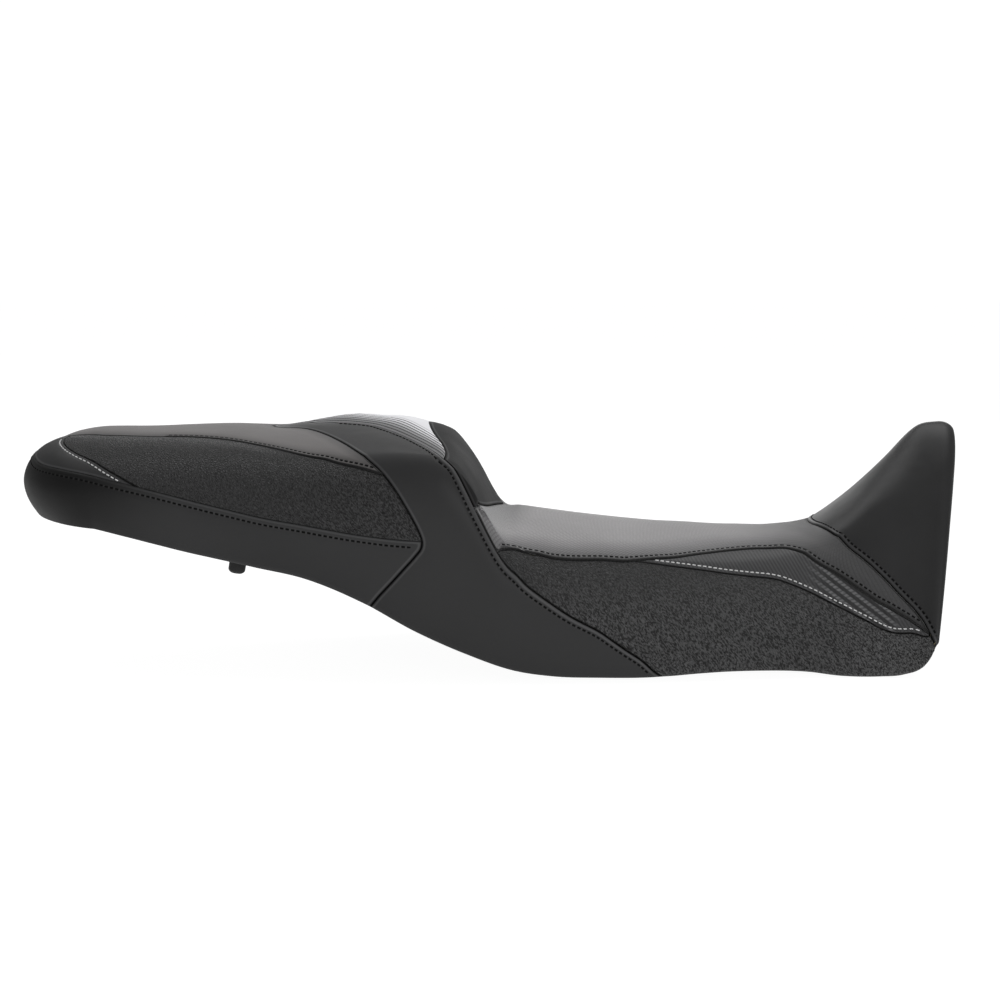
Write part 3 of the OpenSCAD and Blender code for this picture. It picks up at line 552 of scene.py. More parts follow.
def rgba(color):
    """A colour for a socket, from a grey level or from three parts."""
    return (*(color if isinstance(color, tuple) else (color,) * 3), 1.0)


def tint(tone, *shares):
    return tuple(tone * share for share in shares)


class Shader:
    """A material's nodes, with a Principled shader already linked to its output."""

    def __init__(self, name, color, roughness, metallic=0.0, specular=0.5, sheen=0.0):
        self.material = bpy.data.materials.new(name)
        self.material.use_nodes = True
        self.tree = self.material.node_tree
        self.tree.nodes.clear()
        self.bsdf = self.add("ShaderNodeBsdfPrincipled")
        self.out = self.add("ShaderNodeOutputMaterial")
        self.tree.links.new(self.bsdf.outputs[0], self.out.inputs["Surface"])
        self.fill(self.bsdf, {"Base Color": rgba(color), "Roughness": roughness,
                              "Metallic": metallic, "Specular IOR Level": specular,
                              "Sheen Weight": sheen})

    def add(self, kind, **settings):
        node = self.tree.nodes.new(kind)
        for key, value in settings.items():
            setattr(node, key, value)
        return node

    def fill(self, node, inputs):
        """Sets or links a node's inputs, by name or by number."""
        for key, value in inputs.items():
            if isinstance(value, (int, float, tuple)):
                node.inputs[key].default_value = value
            else:
                self.tree.links.new(getattr(value, "socket", value), node.inputs[key])

    def through(self, kind, inputs, output=0, **settings):
        """The value that a new node makes of its inputs."""
        node = self.add(kind, **settings)
        self.fill(node, inputs if isinstance(inputs, dict) else dict(enumerate(inputs)))
        return Value(self, node.outputs[output])

    def math(self, operation, a, b=0.0):
        return self.through("ShaderNodeMath", (a, b), operation=operation)

    def point(self):
        """The point on the object, in metres."""
        return self.through("ShaderNodeTexCoord", (), "Object")

    def place(self, scale=(1.0, 1.0, 1.0), turn=0.0, kind="POINT"):
        """The point scaled, or with kind TEXTURE in axes turned about Y and divided by the
        scale."""
        return self.through("ShaderNodeMapping", {"Vector": self.point(), "Scale": scale,
                                                  "Rotation": (0, turn, 0)}, vector_type=kind)

    def parts(self, vector, metres):
        """A vector's three parts, with those that are in metres turned to millimetres."""
        split = self.add("ShaderNodeSeparateXYZ")
        self.fill(split, {0: vector})
        values = [Value(self, output) for output in split.outputs]
        return [value * 1000.0 if k in metres else value for k, value in enumerate(values)]

    def attribute(self, name):
        return self.through("ShaderNodeAttribute", (), "Vector", attribute_name=name)

    def cloth(self):
        """Lengths along and around the cloth and to its seam, in millimetres."""
        return self.parts(self.attribute("cloth"), (0, 1, 2))

    def row(self):
        """Distance from a row of stitches and length along it, in millimetres, and its strength."""
        return self.parts(self.attribute("row"), (0, 1))

    def side_view(self):
        """The point's X and Z on the object, in millimetres."""
        return self.parts(self.point(), (0, 2))[::2]

    def sewn(self, base, shade=0.001, seam_width=1.15):
        """The base colour with a painted highlight along a row of stitches, a painted shadow at
        each stitch, and painted shade, black, in the seam.
        """
        offset, along, strength = self.row()
        near = abs(offset).ramp(0.65, 1.2, 1.0, 0.0) * strength
        # a painted highlight along the row, then a painted shadow under each stitch
        base = self.layers(base, (near * 0.12, 0.12),
                           (near * along.stripes(PITCH).ramp(0.14, 0.24), shade))
        return self.sewn_seam(base, seam_width)

    def sewn_seam(self, base, width=1.0):
        # painted shade: black in the seam's groove
        return self.layers(base, (self.cloth()[2].ramp(width * 0.6, width, 1.0, 0.0), 0.002))

    def noise(self, vector, scale, detail=3.0, roughness=0.5):
        return self.through("ShaderNodeTexNoise", {"Vector": vector, "Scale": scale,
                                                   "Detail": detail, "Roughness": roughness}, "Fac")

    def voronoi(self, vector, scale, feature="DISTANCE_TO_EDGE", randomness=1.0):
        return self.through("ShaderNodeTexVoronoi", {"Vector": vector, "Scale": scale,
                                                     "Randomness": randomness},
                            "Distance", feature=feature)

    def color(self, factor, a, b):
        """A mix of two colours, each a socket, a grey level or three parts."""
        a, b = (x if isinstance(x, Value) else rgba(x) for x in (a, b))
        return self.through("ShaderNodeMix", {0: factor, 6: a, 7: b}, 2, data_type="RGBA")

    def layers(self, base, *coats):
        """The base colour with each (factor, colour) laid over it in turn."""
        for factor, color in coats:
            base = self.color(factor, base, color)
        return base

    def finish(self, color, roughness, height, distance, strength):
        """The material, with a bump from height. Without a roughness it keeps the one it has."""
        inputs = {"Base Color": color, "Normal": self.through(
            "ShaderNodeBump", {"Distance": distance, "Strength": strength, "Height": height})}
        self.fill(self.bsdf, inputs if roughness is None else {**inputs, "Roughness": roughness})
        return self.material


def smooth_vinyl(name="smooth_vinyl", tone=0.03, roughness=0.5, shine=0.24, band=0.0, tail=0.0):
    """Matt black vinyl: a fine even tooth, faint clouds and a painted highlight, greyer, on the
    ridge by the seam.
    """
    m = Shader(name, tone, roughness, specular=shine)
    here = m.place()
    clouds = m.noise(here, 14.0, 4.0)
    height = m.noise(here, 1500.0, 2.0, 0.6) + m.voronoi(here, 900.0, "F1") * 0.6
    seam = m.cloth()[2]
    # edge: the ridge beside the seam, lightened as a painted highlight
    edge = seam.ramp(1.2, 2.0) * seam.ramp(2.4, 3.6, 1.0, 0.0)
    base = m.color(clouds, tint(tone, 0.86, 0.86, 0.87), tint(tone, 1.14, 1.14, 1.17))
    base = m.layers(base, (edge * 0.7, tint(tone, 2.4, 2.4, 2.45)))
    rough = clouds.ramp(0.3, 0.7, roughness - 0.05, roughness + 0.05) + edge * -0.1
    if tail:                           # painted shade: darker round the tail
        base = m.layers(base, (m.side_view()[0].ramp(-240.0, -345.0) * tail, 0.006))
    if band:                           # painted highlight on the swollen strip between a seam and its stitches
        offset, _, strength = m.row()
        base = m.layers(base, (offset.ramp(-1.0, -2.5) * strength * band, (0.12, 0.12, 0.122)))
    return m.finish(m.sewn(base), rough, height, 0.00006, 0.7)


def grained_vinyl():
    """Leather-look vinyl: long slanting pebbles with creases between them, painted glints on the
    grain with painted shade between them, painted shade at the front of the pillion's sides,
    painted light from the floor low on the rider's sides and a painted highlight near the rider's
    lower front corner.
    """
    m = Shader("grained_vinyl", (0.03, 0.03, 0.031), 0.4, specular=0.42)
    here = m.place((2.2, 1.0, 1.0), 0.96, "TEXTURE")
    wander = m.noise(here, 200.0, 3.0)
    push = m.through("ShaderNodeCombineXYZ", [wander * k for k in (0.9, -0.7, 0.8)])
    pushed = m.through("ShaderNodeVectorMath", (push, (0.0022, 0.0022, 0.0022), here),
                       operation="MULTIPLY_ADD")
    pebbles = m.voronoi(pushed, 600.0).ramp(0.02, 0.34)
    height = pebbles * 0.9 + m.voronoi(pushed, 1300.0).ramp(0.0, 0.25) * 0.25 \
        + m.noise(here, 150.0, 2.0) * 1.1 + m.noise(here, 2400.0, 2.0) * 0.12
    # where the grain gets painted glints, with painted shade between them
    glint_strokes = m.noise(pushed, 900.0, 1.0, 0.5).ramp(0.36, 0.64)
    x, z = m.side_view()
    # behind: painted shade, deepest at the front of the pillion's sides
    behind = x.ramp(-200.0, -50.0) * x.ramp(-5.0, -30.0)
    # low: painted light from the floor, lighter low on the rider's sides
    low = z.ramp(105.0, 45.0) * x.ramp(-15.0, 0.0)
    # corner: a painted highlight, a pool of light near the rider's lower front corner
    corner = x.ramp(270.0, 315.0) * x.ramp(362.0, 335.0) * z.ramp(52.0, 26.0)
    # how strongly the painted glints and painted shade of the grain show
    glint_strength = m.math("MAXIMUM", behind, low) * 0.6 + 0.35
    base = m.color(m.noise(here, 12.0, 3.0), (0.022, 0.022, 0.0222), (0.03, 0.03, 0.0305))
    base = m.layers(base, (behind * 0.95, 0.004), (low * 0.85, (0.074, 0.074, 0.0745)),
                    (corner * 0.5, (0.13, 0.13, 0.132)), (glint_strength * (1.0 - glint_strokes), 0.006),
                    (glint_strength * glint_strokes * 0.4, (0.13, 0.13, 0.132)))
    return m.finish(m.sewn(base), pebbles.ramp(0.0, 1.0, 0.6, 0.33), height, 0.001, 1.0)


def rider_fabric():
    """Anti-slip fabric: a fine square grid pressed into a matt mid-grey cloth, with painted shade
    towards its seams, towards the nose and on the strip that turns under.
    """
    m = Shader("rider_fabric", (0.25, 0.243, 0.247), 0.75, specular=0.3, sheen=0.5)
    along, around, seam = m.cloth()
    here = m.place()
    shake = m.noise(here, 300.0, 2.0) * 0.35
    grid = m.math("MAXIMUM", (along + shake).stripes(3.2).ramp(0.2, 0.4),
                  (around + shake).stripes(3.2).ramp(0.34, 0.48))
    tooth = m.noise(here, 2200.0, 2.0, 0.7)
    offset, _, strength = m.row()      # the strip that turns under, beyond the stitches, which gets painted shade
    base = m.color(m.noise(here, 16.0, 4.0), (0.34, 0.328, 0.334), (0.42, 0.405, 0.412))
    base = m.layers(base, (grid * 0.7, (0.1, 0.096, 0.098)), (tooth * 0.2, (0.34, 0.33, 0.336)),
                    # painted shade: darker towards the seams
                    (seam.ramp(2.0, 34.0, 0.8, 0.0), (0.1, 0.1, 0.102)),
                    # painted shade: darker towards the nose
                    (m.side_view()[0].ramp(190.0, 300.0, 0.0, 0.85), (0.035, 0.035, 0.036)),
                    # painted shade on the strip that turns under
                    (offset.ramp(-0.5, -1.5) * strength * 0.75, 0.02))
    return m.finish(m.sewn(base, 0.012, 2.0), tooth.ramp(0.3, 0.7, 0.7, 0.86),
                    grid * -1.0 + tooth * 0.5, 0.00015, 0.8)


def pillion_fabric():
    """Anti-slip fabric of the pillion: suede-like, a little warmer, with a fine pressed tooth, and
    painted shade towards its seams.
    """
    m = Shader("pillion_fabric", (0.11, 0.1, 0.098), 0.82, specular=0.3, sheen=0.3)
    here = m.place()
    tooth = m.noise(here, 1900.0, 3.0, 0.7)
    base = m.color(m.noise(here, 13.0, 4.0), (0.108, 0.101, 0.1), (0.15, 0.141, 0.139))
    base = m.layers(base, (tooth * 0.3, (0.17, 0.158, 0.153)),
                    # painted shade: darker towards the seams
                    (m.cloth()[2].ramp(1.0, 12.0, 0.6, 0.0), (0.035, 0.034, 0.034)))
    return m.finish(m.sewn(base, 0.006, 1.8), tooth.ramp(0.3, 0.7, 0.74, 0.9),
                    tooth + m.voronoi(here, 760.0, "F1", 0.4) * 0.8, 0.0001, 0.7)


LINE_PITCH = 5.4     # between the lines of the insert's fabric


def silver_insert():
    """Silver-grey fabric with dark dotted lines that follow its back seam and fade inwards; painted
    shade darkens it by that seam and a painted highlight brightens it further in.
    """
    m = Shader("silver_insert", (0.3, 0.3, 0.31), 0.45, metallic=0.1, specular=0.4)
    across, along, _ = m.row()
    step = m.math("FLOOR", across / LINE_PITCH)
    line = (across + 0.6).stripes(LINE_PITCH).ramp(0.26, 0.36)
    dots = (along + step * 1.35).stripes(2.7).ramp(0.44, 0.36)
    groove = line * (dots * 0.45 + 0.55) * across.ramp(30.0, 42.0, 1.0, 0.0)
    tooth = m.noise(m.place(), 2600.0, 2.0, 0.6)
    # painted shade near the back seam, grading to a painted highlight further in
    shaded_silver = m.color(across.ramp(6.0, 34.0), (0.075, 0.075, 0.079), (0.85, 0.85, 0.88))
    base = m.layers(shaded_silver, (tooth * 0.25, (0.42, 0.42, 0.43)), (groove, (0.012, 0.012, 0.013)))
    return m.finish(m.sewn_seam(base), groove.ramp(0.0, 1.0, 0.42, 0.65),
                    groove * -1.0 + tooth * 0.25, 0.0003, 0.9)


def woven_accent():
    """Braided ribs that slant down towards the front, bold at the front end and faint behind."""
    m = Shader("woven_accent", (0.05, 0.05, 0.052), 0.42, specular=0.45)
    x, z = m.side_view()
    rib, braid, faint = ((x * a + z * b).stripes(pitch).ramp(low, high, 1.0, 0.0)
                         for a, b, pitch, low, high in ((0.6, 0.8, 5.6, 0.12, 0.34),
                                                        (0.25, -1.0, 2.9, 0.12, 0.4),
                                                        (0.86, 0.5, 2.6, 0.1, 0.4)))
    front = x.ramp(255.0, 285.0) * x.ramp(326.0, 340.0, 1.0, 0.0)
    weave = rib * (braid * 0.6 + 0.4) * front + faint * front.ramp(0.0, 1.0, 0.22, 0.05)
    tooth = m.noise(m.place(), 3000.0, 2.0)
    ground = m.color(front, (0.03, 0.03, 0.031), (0.008, 0.008, 0.0085))
    base = m.layers(ground, (weave, (0.13, 0.13, 0.134)), (tooth * 0.1, (0.1, 0.1, 0.104)))
    return m.finish(m.sewn(base), weave.ramp(0.0, 1.0, 0.55, 0.38), weave + tooth * 0.1, 0.0006,
                    0.9)


def thread(name, tone, roughness, specular, sheen):
    """Twisted sewing thread."""
    m = Shader(name, tone, roughness, specular=specular, sheen=sheen)
    twist = m.through("ShaderNodeTexWave", {"Vector": m.place(), "Scale": 900.0}, "Fac",
                      bands_direction="DIAGONAL")
    return m.finish(m.color(twist, tone * 0.72, tone * 1.08), None, twist, 0.0001, 0.8)


def moulded(name, tone, roughness, scale, depth):
    """Moulded rubber or plastic with a fine spark-eroded texture and worn high spots."""
    m = Shader(name, tone, roughness, specular=0.45)
    here = m.place()
    grit = m.noise(here, scale, 3.0, 0.65)
    clouds = m.noise(here, 22.0, 4.0)
    base = m.color(clouds, tone * 0.8, tone * 1.25)
    base = m.layers(base, (grit.ramp(0.62, 0.8, 0.0, 0.3), tint(tone, 2.4, 2.3, 2.2)))
    return m.finish(base, clouds.ramp(0.3, 0.7, roughness - 0.08, roughness + 0.06), grit, depth,
                    0.8)


def plated(name, tone, roughness, brush):
    """Zinc-plated or polished steel with fine brushing and dull patches."""
    m = Shader(name, tint(tone, 1, 1, 1.01), roughness, metallic=1.0)
    streaks = m.noise(m.place((1.0, brush, 1.0)), 420.0, 3.0, 0.6)
    clouds = m.noise(m.place(), 60.0, 4.0, 0.6)
    base = m.color(clouds, tint(tone, 0.82, 0.83, 0.85), tone * 1.08)
    rough = clouds.ramp(0.3, 0.7, roughness - 0.06, roughness + 0.08) + streaks * 0.08
    return m.finish(base, rough, streaks, 0.00002, 0.6)


def foam_material():
    """Open-celled foam: pale cells of two sizes, with painted shade in the small pits."""
    m = Shader("moulded_foam", (0.62, 0.54, 0.33), 0.95, specular=0.1)
    here = m.place()
    cells, pits = m.voronoi(here, 800.0, "F1"), m.voronoi(here, 2200.0, "F1")
    base = m.color(m.noise(here, 18.0, 3.0), (0.55, 0.46, 0.26), (0.7, 0.62, 0.4))
    # painted shade in the small pits
    base = m.layers(base, (pits.ramp(0.1, 0.5, 0.5, 0.0), (0.3, 0.24, 0.12)))
    return m.finish(base, None, cells + pits, 0.0004, 0.9)


def hem_material():
    """The cloth back of the cover, folded under the pan."""
    m = Shader("hem_cloth", 0.03, 0.9, specular=0.2, sheen=0.2)
    here = m.place()
    base = m.color(m.noise(here, 30.0, 3.0), 0.022, (0.045, 0.044, 0.043))
    return m.finish(base, None, m.voronoi(here, 1100.0, "F1", 0.2), 0.00025, 0.9)


# ------------------------------------------------------------------ the cover's panels
# Where seams meet, as station and place on the right: the wrap's and the arrow's seams with the
# skirt and with the pillion's top, and the rider's top with the hump and with the nose.
(WRAP_LOW_X, WRAP_LOW), (WRAP_TOP_X, WRAP_TOP) = (-285.0, 0.677), (-390.0, 0.255)
(ARROW_LOW_X, ARROW_LOW), (ARROW_TOP_X, ARROW_TOP) = (-53.5, 0.76), (-83.5, 0.585)
(RIDER_BACK_X, RIDER_BACK), (RIDER_FRONT_X, RIDER_FRONT) = (6.5, 0.572), (357.0, 0.922)
ARROW_FOOT_X, HUMP_FOOT_X, NOSE_FOOT_X = -96.0, 140.0, 363.5     # where seams reach the hem
INSERT_CORNER = 0.48                 # where the insert, the lumbar and the hump's side meet
LUMBAR_CORNER = 0.55                 # where the lumbar, the rider's top and the hump's side meet
ACCENT_CORNER = 0.925                # where the accent, the rider's side and the nose meet
ACCENT_X = (119, 356)                # the accent's two ends
SLIVER = 0.0005                      # a panel stops this short of a corner, so that it has width


def along(rows, start, stop, side=-1):
    """A panel's edge along the seat: a seam between two stations."""
    def line(x):
        q = mix(start, stop, x)
        return pair(q, side * curve(rows, around_tail(q)))
    return line


def across(rows, start, stop, beyond=False):
    """A panel's edge across the seat: a seam between two places, here or beyond the tail."""
    def line(x):
        v = mix(start, stop, x)
        q = curve(rows, np.abs(v))
        return pair(opposite(q) if beyond else q, v)
    return line


def hemmed(start, stop):
    """A panel's edge along the hem."""
    return lambda x: pair(mix(start, stop, x), -1.0)


def pillion_side_chart(s, t):
    return coons(s, t, along(SKIRT_EDGE, WRAP_LOW_X, ARROW_LOW_X),
                 along(PILLION_EDGE, WRAP_TOP_X, ARROW_TOP_X),
                 across(WRAP_SEAM, -WRAP_LOW, -WRAP_TOP),
                 across(ARROW_SEAM, -ARROW_LOW, -ARROW_TOP))


def rear_wrap_chart(s, t):
    return coons(s, t, along(SKIRT_EDGE, opposite(WRAP_LOW_X), WRAP_LOW_X),
                 along(PILLION_EDGE, opposite(WRAP_TOP_X), WRAP_TOP_X),
                 *(across(WRAP_SEAM, -WRAP_LOW, -WRAP_TOP, beyond) for beyond in (True, False)))


def rear_skirt_chart(s, t):
    return coons(s, t, hemmed(opposite(ARROW_FOOT_X), ARROW_FOOT_X),
                 along(SKIRT_EDGE, opposite(ARROW_LOW_X), ARROW_LOW_X),
                 *(across(ARROW_SEAM, -1, -ARROW_LOW, beyond) for beyond in (True, False)))


def hump_side_chart(s, t):
    w = 1 - t[None, :]
    front = np.where(w < INSERT_CORNER, curve(INSERT_SEAM, w), curve(HUMP_SEAM, w))
    return pair(mix(curve(ARROW_SEAM, w), front, s[:, None]), -w)


def insert_chart(s, t):
    v = mix(-INSERT_CORNER + SLIVER, INSERT_CORNER - SLIVER, t)[None, :]
    w = np.abs(v)
    return pair(mix(curve(INSERT_SEAM, w), curve(CREST_SEAM, w), s[:, None]), v)


def lumbar_chart(s, t):
    v = mix(-LUMBAR_CORNER + SLIVER, LUMBAR_CORNER - SLIVER, t)[None, :]
    w = np.abs(v)
    back = np.where(w < INSERT_CORNER, curve(CREST_SEAM, w), curve(HUMP_SEAM, w))
    return pair(mix(back, curve(LUMBAR_FOOT, w), s[:, None]), v)


def rider_back(v):
    """Back edge of the rider's seating surface: the lumbar panel's foot, then the hump's seam."""
    w = np.abs(v)
    return np.where(w < LUMBAR_CORNER, curve(LUMBAR_FOOT, w), curve(HUMP_SEAM, w))


def rider_top_chart(s, t):
    """A coons patch at the back; further on, lines along it that spread with its width."""
    patch = coons(s, t, along(RIDER_EDGE, RIDER_BACK_X, RIDER_FRONT_X),
                  along(RIDER_EDGE, RIDER_BACK_X, RIDER_FRONT_X, 1),
                  lambda x: pair(rider_back(mix(-RIDER_BACK, RIDER_BACK, x)),
                                 mix(-RIDER_BACK, RIDER_BACK, x)),
                  across(NOSE_SEAM, -RIDER_FRONT, RIDER_FRONT))
    share = 2 * t - 1

    def half(q):
        return curve(RIDER_EDGE, np.clip(q, RIDER_BACK_X, RIDER_FRONT_X))

    def seam_station(seam, widest):
        v = np.linspace(0, widest, 2000)
        q = seam(v)
        return np.interp(np.abs(share), np.maximum.accumulate(v / half(q)), q)

    back = seam_station(rider_back, RIDER_BACK) - RIDER_BACK_X
    front = seam_station(lambda v: curve(NOSE_SEAM, v), RIDER_FRONT) - RIDER_FRONT_X
    s3 = s[:, None]
    q = mix(RIDER_BACK_X, RIDER_FRONT_X, s3) + front * s3**3 + back * (1 - s3) ** 3
    return mix(patch, pair(q, share * half(q)), ease((s - 0.15) / 0.3)[:, None, None])


def side_edge(a):
    """Top edge of the rider's side: the accent's lower edge where there is an accent."""
    return np.maximum(curve(RIDER_EDGE, a), curve(ACCENT_EDGE, a))


def rider_side_chart(s, t):
    def high(x):
        q = mix(RIDER_BACK_X, RIDER_FRONT_X, x)
        return pair(q, -side_edge(q))

    return coons(s, t, hemmed(HUMP_FOOT_X, NOSE_FOOT_X), high, across(HUMP_SEAM, -1, -RIDER_BACK),
                 across(NOSE_SEAM, -1, -ACCENT_CORNER))


def accent_chart(s, t):
    a = mix(*ACCENT_X, s)[:, None]
    return pair(a, -mix(side_edge(a) + 0.0006, curve(RIDER_EDGE, a), t[None, :]))


def nose_chart(s, t):
    v = mix(-1, 1, t)[None, :]
    return pair(mix(curve(NOSE_SEAM, np.abs(v)), NOSE_X, s[:, None] ** 0.8), v)


def plan_place(x, y):
    """The chart place of a point seen from above, on the upper part of the cover."""
    back = np.maximum(0, (TAIL_X - x) / TAIL_SQUASH)
    u, r = np.maximum(x, TAIL_X), np.hypot(back, y)
    low, high = np.zeros_like(x), np.full_like(x, 0.75)
    for _ in range(30):
        w = (low + high) / 2
        short = section(u, w)[0] < r
        low, high = np.where(short, w, low), np.where(short, high, w)
    q = np.where(back > 0, TAIL_X - np.degrees(np.arctan2(back, np.abs(y))), u)
    return pair(q, np.where(y < 0, -w, w))


def pillion_top_chart(s, t):
    """A coons patch in plan, because its edges lie all around the tail."""
    def plan(line):
        return lambda x: cover(*np.moveaxis(line(x), -1, 0))[..., :2]

    def back(x):
        q = mix(WRAP_TOP_X, opposite(WRAP_TOP_X), x)
        return pair(q, -curve(PILLION_EDGE, around_tail(q)))

    sides = [plan(along(PILLION_EDGE, WRAP_TOP_X, ARROW_TOP_X, sign)) for sign in (-1, 1)]
    flat = coons(s, t, *sides, plan(back), plan(across(ARROW_SEAM, -ARROW_TOP, ARROW_TOP)))
    return plan_place(flat[..., 0], flat[..., 1])


ALL_SEAMS = dict.fromkeys(("back", "front", "low", "high"), "seam")
HEM_BELOW, LAP_BELOW = {**ALL_SEAMS, "low": "hem"}, {**ALL_SEAMS, "low": "lap"}


def even(distance):
    """A row of stitches all at one distance from its edge."""
    return ((0, distance), (1, distance))


def dress():
    """All panels of the cover, with their rows of stitches."""
    smooth, grained = smooth_vinyl(), grained_vinyl()
    # the hump's vinyl gets a painted highlight on the strip beside its seam
    accent, hump = woven_accent(), smooth_vinyl("hump_vinyl", band=0.3)
    THREADS.update(white=thread("white_thread", 0.8, 0.7, 0.35, 0.2),
                   black=thread("black_thread", 0.003, 0.8, 0.08, 0.0))
    panel("pillion_top_panel", pillion_top_chart, (290, 230), ALL_SEAMS, pillion_fabric(),
          "anti_slip_fabric", [(edge, even(3.6), 0.3, 0.99, "black") for edge in ("low", "high")],
          lift=0.6)
    panel("rear_wrap_panel", rear_wrap_chart, (240, 60), LAP_BELOW, smooth, "smooth_vinyl",
          [(edge, even(3.2), 0.1, 0.96, "white") for edge in ("front", "back")])
    # the skirt's vinyl gets painted shade that darkens it round the tail
    panel("rear_skirt_panel", rear_skirt_chart, (700, 60), {**HEM_BELOW, "high": "lap"},
          smooth_vinyl("skirt_vinyl", 0.033, 0.58, tail=1.0), "smooth_vinyl",
          [("high", even(5.5), 0.01, 0.99, "black")])
    panel("hump_top_insert", insert_chart, (120, 240), ALL_SEAMS, silver_insert(), "silver_insert",
          lines="back")
    panel("lumbar_panel", lumbar_chart, (75, 250), ALL_SEAMS,
          smooth_vinyl("lumbar_vinyl", 0.017, 0.62, 0.1), "smooth_vinyl", lift=0.5)
    panel("rider_top_panel", rider_top_chart, (380, 240), ALL_SEAMS, rider_fabric(),
          "rider_fabric", [(edge, even(4.2), 0.01, 0.99, "black") for edge in ("low", "high")],
          lift=0.6)
    panel("nose_panel", nose_chart, (130, 420), {**HEM_BELOW, "high": "hem"},
          smooth_vinyl("nose_vinyl", 0.0235, 0.45, 0.3), "smooth_vinyl",
          [("back", even(4.3), 0.02, 0.98, "black")])
    hump_row = ("front", ((0, 4.2), (0.5, 6.5), (0.62, 5.5), (0.7, 3.8), (1, 3.8)), 0.02, 0.9,
                "black")
    for side, mirrored in (("right", False), ("left", True)):
        panel(f"pillion_side_{side}", pillion_side_chart, (310, 75), LAP_BELOW, grained,
              "grained_vinyl", (), mirrored, lift=0.5)
        panel(f"hump_side_{side}", hump_side_chart, (110, 330), HEM_BELOW, hump, "smooth_vinyl",
              [hump_row], mirrored)
        panel(f"rider_side_{side}", rider_side_chart, (360, 110), HEM_BELOW, grained,
              "grained_vinyl", (), mirrored, lift=0.5)
        panel(f"rider_accent_{side}", accent_chart, (260, 26), ALL_SEAMS, accent, "woven_accent",
              [("low", even(3.6), 0.03, 0.985, "white")], mirrored)
    front_face(smooth)


# ------------------------------------------------------------------ pan, foam and fittings
RIM_LIFT, PAN_INSET, RIM_WIDTH, STEP_RUN, PAN_WALL = 2.2, 5.0, 14.0, 8.0, 3.0
PAN_BACK, PAN_FRONT, TAIL_HALF = -378.0, 362.0, 74.0
RIBS = np.arange(-232, 209, 44.0)
RIB_DEPTH, RIB_HALF = 7.0, 1.6
RIB_LINES = np.array([-2.4, -1.7, -1.3, -0.6, 0.6, 1.3, 1.7, 2.4])   # where a rib's profile turns
PLATE = 3.0          # thickness of the tongue and of the striker's plate
FOAM_DEPTH, FOAM_GAP = 3.0, 0.5      # from the foam to the outside of the cover, and to the pan
FOAM_PLACE, FOAM_FRONT = 0.965, 365.7      # how far down the sides and forward it goes
FOAM_STEP = 2.6      # from the step under the pan out to the foam's own step
TUCK_Y, TUCK_Z, TUCK_X = 0.8, 0.4, 0.5     # how far the flat front lies inside the nose's edge
FACE_WALL, FACE_BULGE, FACE_EDGE = 2.2, 0.6, 1.2     # its thickness, swell and turned-in edge
HEM_FRONT, HEM_SLANT, HEM_THICK = 361, 11, 1.2       # front end; less at its inside; thickness
STAPLE_PITCH, STAPLE_HALF, STAPLE_LEG = 42.0, 4.6, [0, 0, 2.6]
STAPLE_INSET, STAPLE_LIFT, STAPLE_RADIUS = 9, 0.55, 0.4
CLEAR = 0.15         # gap between the pan's floor and a fitting below it
TONGUE_X = (222, 252, 302, 378)      # its back, its two bends and its tip
TONGUE_HALF, TONGUE_Z = 25, 1.6      # half its width, and the underside of its front part
STRIKER_X = -255


def rim_z(x):
    return curve(BOTTOM_Z, x) + TAIL_RISE * np.maximum(0, TAIL_X - x) + RIM_LIFT


def floor_z(x):
    rows = np.array(FLOOR_LIFT, float)
    return rim_z(x) + np.interp(x, rows[:, 0], rows[:, 1])


def pan_half(x):
    share = np.clip((TAIL_X - x) / (TAIL_HALF * TAIL_SQUASH - PAN_INSET), 0, 1)
    return np.where(x >= TAIL_X, curve(BOTTOM_Y, x) - PAN_INSET,
                    (TAIL_HALF - PAN_INSET) * np.sqrt(1 - share**2))


def pan_grid(lift, outer, under):
    """One face of the pan: a flat rim, a rounded step, and a floor with ribs below it."""
    x = np.unique(np.concatenate([np.linspace(PAN_BACK, PAN_FRONT, 210),
                                  *[rib + RIB_LINES for rib in RIBS]]))
    share = np.concatenate([[0, 0.004, 0.012], np.linspace(0.03, 0.5, 36)])
    half = pan_half(x)[:, None]
    narrow = np.clip((half - 30) / 15, 0, 1)
    reach = half * share[None, :] * 2
    step = RIM_WIDTH - outer
    raised = ease((reach - step) / STEP_RUN) * narrow
    z = rim_z(x)[:, None] + lift + (floor_z(x) - rim_z(x))[:, None] * raised
    if under:
        rib = sum(ease((RIB_HALF + 0.8 - np.abs(x - r)) / 1.1) for r in RIBS)[:, None]
        z = z - RIB_DEPTH * rib * ease((reach - step - STEP_RUN + 4) / 4)
        z = z + 0.7 * (1 - np.clip(reach / 1.2, 0, 1)) ** 2
    else:
        z = z - 0.7 * (1 - np.clip(reach / 1.2, 0, 1)) ** 2
    y = half - reach
    right = np.stack([np.broadcast_to(x[:, None], y.shape), -y, z], -1)
    left = (right * MIRROR)[:, -2::-1]
    return np.concatenate([right, left], 1)


def seat_pan(material):
    top, below = pan_grid(PAN_WALL, 2.0, False), pan_grid(0.0, 0.0, True)
    n, m = top.shape[:2]
    points = np.concatenate([top.reshape(-1, 3), below.reshape(-1, 3)])
    make("seat_pan", points, shell_faces(n, m, False), material, "pan", ["seat_pan"])


def weld(points, faces):
    """Points that lie in one place become one, and faces that lose their area go."""
    _, first, again = np.unique(np.round(points, 3), axis=0, return_index=True,
                                return_inverse=True)
    again = again.ravel()
    kept = []
    for face in faces:
        corners = [int(again[k]) for k in face]
        corners = [c for k, c in enumerate(corners) if c != corners[k - 1]]
        if len(set(corners)) == len(corners) > 2:
            kept.append(corners)
    return points[first], kept


